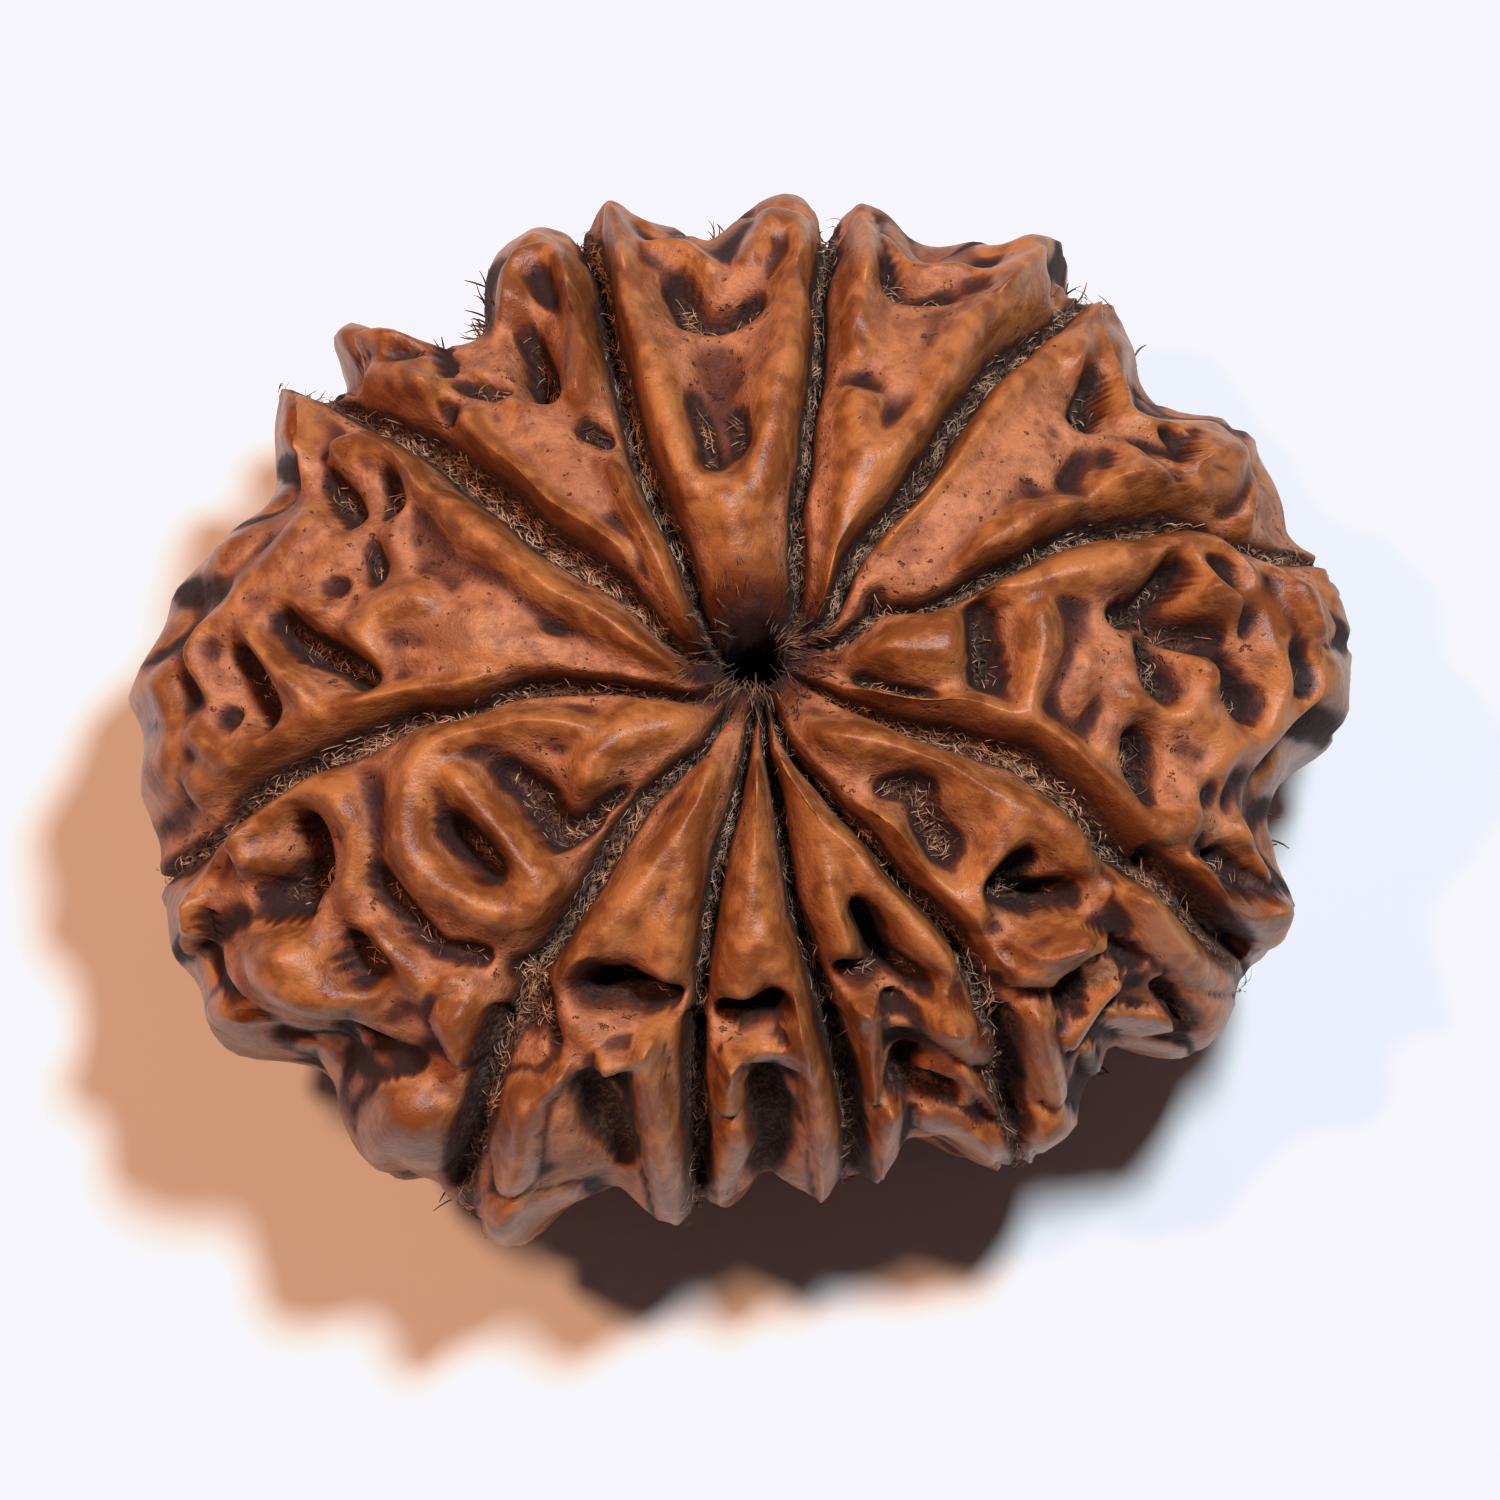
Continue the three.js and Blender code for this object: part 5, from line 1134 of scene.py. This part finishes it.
def bead_grid():
    """The bead's surface as rings of points in mm about the hole axis, with its masks."""
    rim = math.asin((HOLE_RADIUS / MEAN_RADIUS) ** (ROUNDNESS / 2))
    upper = np.linspace(rim, math.pi / 2, UPPER_RINGS, endpoint=False)
    lower = np.linspace(math.pi / 2, math.pi - rim, LOWER_RINGS)
    polars = np.concatenate([upper, lower])
    azimuth = np.stack([column_azimuths(value) for value in polars])
    polar = np.broadcast_to(polars[:, None], azimuth.shape)
    shape = azimuth.shape
    height, masks = relief(azimuth.ravel(), polar.ravel())
    height = blurred(height.reshape(shape), 3).ravel()
    points = envelope_points(azimuth.ravel(), polar.ravel())
    points = points + envelope_normals(azimuth.ravel(), polar.ravel()) * height[:, None]
    points = notched(points, polar.ravel()).reshape(*shape, 3)
    at_rim = bell(polar - RIM_POLAR, RIM_REACH)[..., None]
    points = mix(points, blurred(points, RIM_ROUNDING), at_rim)
    masks = {name: blurred(values.reshape(shape), 1) for name, values in masks.items()}
    points = fitted_to_outline(points, polar, masks["groove"])
    masks["height"] = height.reshape(shape)
    points, masks = knobbed(points, masks)
    points = fitted_to_outline(points, polar, masks["groove"])
    ridged = np.clip(masks["ridge"] * (1 - masks["groove"]) * (1 - masks["pit"]), 0, 1)
    grid = drawn_in(points, RIDGE_TRIM * ridged)
    out = np.hypot(grid[..., 0], grid[..., 1])
    widen = np.maximum(out, HOLE_RADIUS) / np.maximum(out, 1e-6)
    grid[..., :2] *= widen[..., None]
    grid[..., 2] = np.maximum(grid[..., 2], WORN_FOOT - HALF_HEIGHT)
    return grid, masks


def in_frame(points):
    """From mm about the hole axis to metres in the frame."""
    return (points + np.array([HOLE_AXIS[0], HOLE_AXIS[1], MIDDLE_HEIGHT])) * MM


def mesh_object(name, vertices, faces, material, smooth=True):
    """A linked object from an array of vertices in metres and a list of faces."""
    mesh = bpy.data.meshes.new(name)
    mesh.from_pydata(vertices.tolist(), [], faces)
    mesh.polygons.foreach_set("use_smooth", [smooth] * len(mesh.polygons))
    mesh.materials.append(material)
    mesh.update()
    made = bpy.data.objects.new(name, mesh)
    bpy.context.scene.collection.objects.link(made)
    return made


def ring_faces(rings, columns):
    """Four-sided faces between closed rings of points. The last ring joins the first, through the hole."""
    ring = np.arange(rings)[:, None] * columns
    below = (np.arange(rings)[:, None] + 1) % rings * columns
    column = np.arange(columns)[None, :]
    following = (column + 1) % columns
    corners = [ring + column, below + column, below + following, ring + following]
    return np.stack([corner.ravel() for corner in corners], 1).tolist()


def painted_crease_shade(masks):
    """How far the surface lies under its surroundings, for painted shade: fine creases at ridges' feet, and
    wide hollows.
    """
    height = masks["height"]
    result = 0
    for rounds, depth, weight in (FINE_CREASE_SHADE, WIDE_HOLLOW_SHADE):
        result = result + weight * np.clip((blurred(height, rounds) - height) / depth, 0, 1)
    return np.clip(result, 0, 1)


def relief_colours(masks):
    """What the stone's colour layer holds: ridges as red, stain and painted shade in hollows as green, fibre
    dust as blue.
    """
    near_hole = bell(masks["out"], STAIN_AND_SHADE_ROUND_HOLE)
    stains_and_shade = [0.9 * masks["groove"], 0.98 * masks["pit"], 0.85 * painted_crease_shade(masks), near_hole]
    dust = 0.9 * np.clip(masks["groove"] * 1.7 - 0.8, 0, 1) + 0.6 * np.clip(masks["pit"] * 1.5 - 0.9, 0, 1)
    layers = (masks["ridge"] / 0.85, np.maximum.reduce(stains_and_shade), dust)
    return [np.clip(layer, 0, 1) for layer in layers]


def paint(mesh, name, red, green, blue):
    """Adds a colour layer to a mesh, one colour for each vertex."""
    colours = np.stack([red.ravel(), green.ravel(), blue.ravel(), np.ones(red.size)], 1)
    layer = mesh.color_attributes.new(name, "FLOAT_COLOR", "POINT")
    layer.data.foreach_set("color", colours.astype(np.float32).ravel())


def add_node(tree, kind, **settings):
    """A new node of a kind, with its settings."""
    node = tree.nodes.new(kind)
    for name, value in settings.items():
        setattr(node, name, value)
    return node


def noise(tree, coordinates, size_mm, detail=4.0, roughness=0.6):
    """A noise texture with lumps of about size_mm, as its grey output."""
    node = add_node(tree, "ShaderNodeTexNoise")
    node.inputs["Scale"].default_value = 1 / (size_mm * MM)
    node.inputs["Detail"].default_value = detail
    node.inputs["Roughness"].default_value = roughness
    tree.links.new(coordinates, node.inputs["Vector"])
    return node.outputs["Fac"]


def remap(tree, value, low, high, to_low=0.0, to_high=1.0):
    """A smooth ramp that turns low into to_low and high into to_high."""
    node = add_node(tree, "ShaderNodeMapRange", interpolation_type="SMOOTHSTEP")
    tree.links.new(value, node.inputs["Value"])
    node.inputs["From Min"].default_value = low
    node.inputs["From Max"].default_value = high
    node.inputs["To Min"].default_value = to_low
    node.inputs["To Max"].default_value = to_high
    return node.outputs["Result"]


def combined(tree, operation, first, second):
    """One sum with two values, each of them a number or another node's output."""
    node = add_node(tree, "ShaderNodeMath", operation=operation)
    for socket, value in zip(node.inputs, (first, second)):
        if isinstance(value, (int, float)):
            socket.default_value = value
        else:
            tree.links.new(value, socket)
    return node.outputs[0]


def plus(tree, first, second):
    return combined(tree, "ADD", first, second)


def minus(tree, first, second):
    return combined(tree, "SUBTRACT", first, second)


def times(tree, first, second):
    return combined(tree, "MULTIPLY", first, second)


def blend_colours(tree, factor, first, second):
    """The first colour at factor 0, and the second at factor 1."""
    node = add_node(tree, "ShaderNodeMix", data_type="RGBA")
    tree.links.new(factor, node.inputs[0])
    for socket, value in zip((node.inputs[6], node.inputs[7]), (first, second)):
        if isinstance(value, tuple):
            socket.default_value = (*value, 1.0)
        else:
            tree.links.new(value, socket)
    return node.outputs[2]


def new_material(name):
    """A material, its node tree and its main shader."""
    material = bpy.data.materials.new(name)
    material.use_nodes = True
    tree = material.node_tree
    return material, tree, tree.nodes["Principled BSDF"]


def stone_skin(tree, coordinates, mottle, grain, layers):
    """The stone's colour, with stain and painted shade in its hollows. Also gives how worn, how stained and
    shaded, and how porous it is.
    """
    ridge, hollow, dust = layers
    cloud = noise(tree, coordinates, 2.2, 3.0)
    speck = noise(tree, coordinates, 0.30, 3.0, 0.7)
    uneven = minus(tree, mottle, 0.5)
    shade = plus(tree, cloud, times(tree, uneven, 0.7))
    ridge_colour = blend_colours(tree, remap(tree, shade, 0.36, 0.66), RIDGE_DARK, RIDGE_LIGHT)
    floor_colour = blend_colours(tree, remap(tree, mottle, 0.36, 0.62), FLOOR_BROWN, FLOOR_PINK)
    worn = remap(tree, plus(tree, ridge, times(tree, mottle, 0.35)), 0.38, 0.68)
    skin = blend_colours(tree, worn, floor_colour, ridge_colour)
    pores = remap(tree, minus(tree, speck, times(tree, ridge, 0.13)), 0.60, 0.68)
    skin = blend_colours(tree, times(tree, pores, 0.75), skin, PORE_BROWN)
    # Grooves, pits, creases and the hole's mouth turn brown, then near-black: partly stain, partly painted
    # shade
    edge = plus(tree, hollow, times(tree, uneven, 0.6))
    skin = blend_colours(tree, remap(tree, edge, 0.10, 0.50), skin, CREASE_STAIN_AND_SHADE)
    stain_and_shade = remap(tree, edge, 0.36, 0.80)
    skin = blend_colours(tree, stain_and_shade, skin, STAIN_AND_SHADE)
    dusty = times(tree, dust, remap(tree, grain, 0.46, 0.58))
    return blend_colours(tree, dusty, skin, FIBRE_DUST), worn, stain_and_shade, pores


def stone_surface(tree, shader, mottle, grain, ridge, pores):
    """Fine unevenness of the stone, weaker on the polished ridges, with pores sunk in."""
    lumps = times(tree, mottle, remap(tree, ridge, 0.0, 0.7, 1.0, 0.5))
    fine = times(tree, grain, remap(tree, ridge, 0.0, 0.7, 0.45, 0.20))
    holes = times(tree, pores, -0.8)
    bump = add_node(tree, "ShaderNodeBump")
    bump.inputs["Strength"].default_value = 1.0
    bump.inputs["Distance"].default_value = 0.10 * MM
    tree.links.new(plus(tree, plus(tree, lumps, fine), holes), bump.inputs["Height"])
    tree.links.new(bump.outputs["Normal"], shader.inputs["Normal"])


def stone_material():
    """Glossy caramel ridges, matt pinkish floors with pores, and dark stain with painted shade in the
    creases and pits.
    """
    material, tree, shader = new_material("fruit_stone_skin")
    coordinates = add_node(tree, "ShaderNodeTexCoord").outputs["Object"]
    masks = add_node(tree, "ShaderNodeVertexColor", layer_name="Relief")
    parts = add_node(tree, "ShaderNodeSeparateColor")
    tree.links.new(masks.outputs["Color"], parts.inputs[0])
    layers = (parts.outputs[0], parts.outputs[1], parts.outputs[2])
    mottle = noise(tree, coordinates, 0.55, 5.0, 0.65)
    grain = noise(tree, coordinates, 0.13, 4.0, 0.7)
    skin, worn, stain_and_shade, pores = stone_skin(tree, coordinates, mottle, grain, layers)
    tree.links.new(skin, shader.inputs["Base Color"])
    shader.inputs["Specular IOR Level"].default_value = 0.36
    gloss = plus(tree, remap(tree, worn, 0.0, 1.0, 0.60, 0.40), times(tree, stain_and_shade, 0.3))
    rough = plus(tree, gloss, times(tree, minus(tree, grain, 0.5), 0.25))
    tree.links.new(rough, shader.inputs["Roughness"])
    stone_surface(tree, shader, mottle, grain, layers[0], pores)
    return material


def fibre_material(name, dark, light):
    """Dry fibres, some darker with old stain."""
    material, tree, shader = new_material(name)
    coordinates = add_node(tree, "ShaderNodeTexCoord").outputs["Object"]
    patches = noise(tree, coordinates, 0.5, 3.0)
    colour = blend_colours(tree, remap(tree, patches, 0.42, 0.62), dark, light)
    tree.links.new(colour, shader.inputs["Base Color"])
    shader.inputs["Roughness"].default_value = 0.75
    return material


def table_material():
    """White card, faintly uneven."""
    material, tree, shader = new_material("white_card")
    coordinates = add_node(tree, "ShaderNodeTexCoord").outputs["Object"]
    cloud = noise(tree, coordinates, 9.0, 2.0)
    tree.links.new(blend_colours(tree, cloud, CARD_DARKER, CARD_LIGHTER), shader.inputs["Base Color"])
    shader.inputs["Roughness"].default_value = 0.8
    shader.inputs["Specular IOR Level"].default_value = 0.1
    return material


def build_bead():
    """The stone itself. Gives its grid of points and its masks for the fibres."""
    grid, masks = bead_grid()
    rings, columns = grid.shape[:2]
    faces = ring_faces(rings, columns)
    bead = mesh_object("rudraksha_stone", in_frame(grid.reshape(-1, 3)), faces, stone_material())
    paint(bead.data, "Relief", *relief_colours(masks))
    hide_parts("rudraksha_bead")
    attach(bead, "root")
    return grid, masks


def strand(start, heading, lift, length, radius, bend, draw):
    """Corners of one tapering fibre about start, bent towards lift and drawn sideways."""
    side = unit(np.cross(heading, lift))
    rows = []
    for step in range(STRAND_STEPS + 1):
        t = step / STRAND_STEPS
        centre = start + heading * length * (t - 0.5) + lift * bend * (1 - (2 * t - 1) ** 2) * length
        centre = centre + side * draw * length * (t - 0.5) ** 2
        thick = radius * (0.35 + 0.65 * math.sin(math.pi * min(max(t, 0.08), 0.92)))
        for corner in range(STRAND_SIDES):
            angle = 2 * math.pi * corner / STRAND_SIDES
            rows.append(centre + thick * (side * math.cos(angle) + lift * math.sin(angle)))
    return rows


def strand_faces(first):
    """The faces of the fibre whose corners start at first: its sides and its two ends."""
    faces = []
    for step in range(STRAND_STEPS):
        for corner in range(STRAND_SIDES):
            a = first + step * STRAND_SIDES + corner
            b = first + step * STRAND_SIDES + (corner + 1) % STRAND_SIDES
            faces.append((a, b, b + STRAND_SIDES, a + STRAND_SIDES))
    last = first + STRAND_STEPS * STRAND_SIDES
    faces.append((first, first + 2, first + 1))
    faces.append((last, last + 1, last + 2))
    return faces


def envelope_up(point):
    """The outward direction at a point, about as on the envelope, and straight up or down near the hole."""
    if math.hypot(point[0], point[1]) < 1.5:
        return np.array([0.0, 0.0, math.copysign(1.0, point[2])])
    wide = MEAN_RADIUS ** 2
    direction = np.array([point[0] / wide, point[1] / wide, point[2] / (HALF_HEIGHT ** 2)])
    return direction / np.linalg.norm(direction)


def drawn_shape(ranges, rng):
    """A fibre's length, radius, bend and draw, taken at random from their ranges."""
    return [rng.uniform(low, high) for low, high in ranges]


def loose_fibre(grid, normals, spot, skew, rng):
    """One dry fibre at a grid place. It lies along the groove, turned by a random angle."""
    rings, columns = grid.shape[:2]
    ring, column = divmod(int(spot), columns)
    ring = min(max(ring, 1), rings - 2)
    along = unit(grid[ring + 1, column] - grid[ring - 1, column])
    out = envelope_up(grid[ring, column])
    across = unit(np.cross(out, along))
    angle = rng.normal(0, skew)
    heading = along * math.cos(angle) + across * math.sin(angle)
    lifted = grid[ring, column] + out * rng.uniform(*LOOSE_LIFTS)
    start = lifted + FIBRE_OFFSET * normals[ring, column]
    return strand(start, heading, out, *drawn_shape(LOOSE_SHAPE, rng))


def fibre_spots(masks, mask, count, rng, limit):
    """Random grid places, weighted towards where the mask is high."""
    weights = np.clip(masks[mask] - limit, 0, None)
    weights[:6] = 0
    weights[-6:] = 0
    weights[UPPER_RINGS:] *= 0.8
    flat = weights.ravel()
    return rng.choice(len(flat), size=count, p=flat / flat.sum())


def build_fibres(grid, masks):
    """Loose dry fibres: along the grooves, and tangled in the pits. Gives the smoothed normals."""
    rng = np.random.default_rng(RANDOM_SEED)
    normals = blurred(grid_normals(grid), 4)
    rows = []
    for mask, count, limit, skew in LOOSE_FIBRES:
        for spot in fibre_spots(masks, mask, count, rng, limit):
            rows.append(loose_fibre(grid, normals, spot, skew, rng))
    fibre_object("dried_fibres", rows, fibre_material("dry_fibre", FIBRE_DARK, FIBRE_TAN))
    return normals


def hole_fibre(start, rng):
    """One dark fibre that points away from the thread hole."""
    away = start * np.array([1.0, 1.0, 0.0]) / max(np.hypot(start[0], start[1]), 1e-6)
    up = np.array([0.0, 0.0, math.copysign(1.0, start[2])])
    twist = np.cross(up, away) * rng.normal(0, 0.35)
    heading = unit(away + twist + up * rng.uniform(-0.25, 0.12))
    return strand(start + FIBRE_OFFSET * up, heading, up, *drawn_shape(HOLE_SHAPE, rng))


def wisp_fibre(start, rng):
    """One dark fibre that stands out from the rim."""
    heading = unit(start * np.array([1.0, 1.0, 0.0])) + rng.normal(0, 0.45, 3)
    heading = unit(heading)
    shape = drawn_shape(WISP_SHAPE, rng)
    middle = start + heading * 0.3 * shape[0]
    return strand(middle, heading, np.array([0.0, 0.0, 1.0]), *shape)


def wisps(grid, normals, rng):
    """The wisps that the photograph shows, rooted near their places where the surface turns away."""
    back = camera_axes()[2]
    x, y = seen_at(grid)
    points = grid.reshape(-1, 3)
    rows = []
    for spot_x, spot_y, count in WISPS:
        gap = np.hypot(x - spot_x, y - spot_y)
        gap[(normals @ back) < 0] += 100
        around = np.argsort(gap.ravel())[:WISP_ROOTS]
        for place in rng.choice(around, count):
            rows.append(wisp_fibre(points[place], rng))
    return rows


def fibre_object(name, rows, material):
    """One mesh of all the fibres in rows."""
    vertices = np.concatenate([np.array(row) for row in rows])
    faces = []
    for index, row in enumerate(rows):
        faces += strand_faces(index * len(row))
    made = mesh_object(name, in_frame(vertices), faces, material)
    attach(made, "root")


def build_old_fibres(grid, normals):
    """Dark old fibres: a ring of them round each end of the thread hole, and wisps at the rim."""
    rng = np.random.default_rng(RANDOM_SEED + 1)
    out = np.hypot(grid[..., 0], grid[..., 1])
    near = np.argwhere((out > HOLE_RING[0]) & (out < HOLE_RING[1]))
    rows = []
    for ring, column in near[rng.choice(len(near), HOLE_FIBRES)]:
        rows.append(hole_fibre(grid[ring, column], rng))
    rows += wisps(grid, normals, rng)
    fibre_object("old_fibres", rows, fibre_material("old_fibre", OLD_FIBRE_DARK, OLD_FIBRE_BROWN))


def build_table():
    """The card that the bead lies on."""
    side = TABLE_HALF_SIDE
    corners = np.array([(-side, -side, 0.0), (side, -side, 0.0), (side, side, 0.0), (-side, side, 0.0)])
    table = mesh_object("table_top", corners, [(0, 1, 2, 3)], table_material(), smooth=False)


def area_light(name, values):
    """A round lamp aimed at the bead."""
    azimuth, elevation, distance, size, power, colour = values
    data = bpy.data.lights.new(name, "AREA")
    data.shape = "DISK"
    data.size = size
    data.energy = power
    data.color = colour
    lamp = bpy.data.objects.new(name, data)
    bpy.context.scene.collection.objects.link(lamp)
    turn = math.radians(azimuth)
    rise = math.radians(elevation)
    flat = math.cos(rise)
    direction = Vector((flat * math.cos(turn), flat * math.sin(turn), math.sin(rise)))
    lamp.location = direction * distance + Vector((0, 0, MIDDLE_HEIGHT * MM))
    lamp.rotation_euler = direction.to_track_quat("Z", "Y").to_euler()


def build_lights():
    """The two lamps that throw the photograph's two shadows, and faint surroundings."""
    area_light("cool_key", COOL_KEY)
    area_light("warm_lamp", WARM_LAMP)
    world = bpy.data.worlds.new("studio")
    world.use_nodes = True
    background = world.node_tree.nodes["Background"]
    background.inputs[0].default_value = SURROUNDINGS
    background.inputs[1].default_value = SURROUNDINGS_STRENGTH
    bpy.context.scene.world = world


def build_camera():
    """At the photograph's viewing angle, with a long lens, aimed at what stands in the picture's middle."""
    right, up, back = camera_axes()
    middle = PHOTO_SIDE / 2
    sideways = (middle - HOLE_AXIS_PIXEL[0]) / PIXELS_PER_MM
    upwards = (HOLE_AXIS_PIXEL[1] - middle) / PIXELS_PER_MM
    target = in_frame(right * sideways + up * upwards)
    data = bpy.data.cameras.new("camera")
    data.sensor_width = 36.0
    data.lens = data.sensor_width * CAMERA_DISTANCE * PIXELS_PER_MM / PHOTO_SIDE
    data.clip_start = 0.01
    data.clip_end = 10.0
    camera = bpy.data.objects.new("camera", data)
    bpy.context.scene.collection.objects.link(camera)
    camera.location = Vector(target) + Vector(back) * CAMERA_DISTANCE * MM
    camera.rotation_euler = Vector(back).to_track_quat("Z", "Y").to_euler()
    bpy.context.scene.camera = camera


def build_view():
    """Plain display colours, with the white of the card a little short of pure white."""
    view = bpy.context.scene.view_settings
    view.view_transform = "Standard"
    view.use_curve_mapping = True
    view.curve_mapping.extend = "HORIZONTAL"
    for curve, white in zip(view.curve_mapping.curves, CARD_WHITE):
        curve.points[-1].location = (1.0, white)
        curve.points.new(STRAIGHT_UP_TO, STRAIGHT_UP_TO)
        for point in curve.points:
            point.handle_type = "VECTOR"
    view.curve_mapping.update()


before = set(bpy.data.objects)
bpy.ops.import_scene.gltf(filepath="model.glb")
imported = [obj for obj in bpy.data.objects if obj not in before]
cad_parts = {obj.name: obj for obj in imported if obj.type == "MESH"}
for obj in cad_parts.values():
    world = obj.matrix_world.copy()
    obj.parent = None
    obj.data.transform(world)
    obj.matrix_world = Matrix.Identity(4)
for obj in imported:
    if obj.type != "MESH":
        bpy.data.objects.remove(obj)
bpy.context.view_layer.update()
build_camera()
build_lights()
build_table()
stone_grid, stone_masks = build_bead()
stone_normals = build_fibres(stone_grid, stone_masks)
build_old_fibres(stone_grid, stone_normals)
build_view()
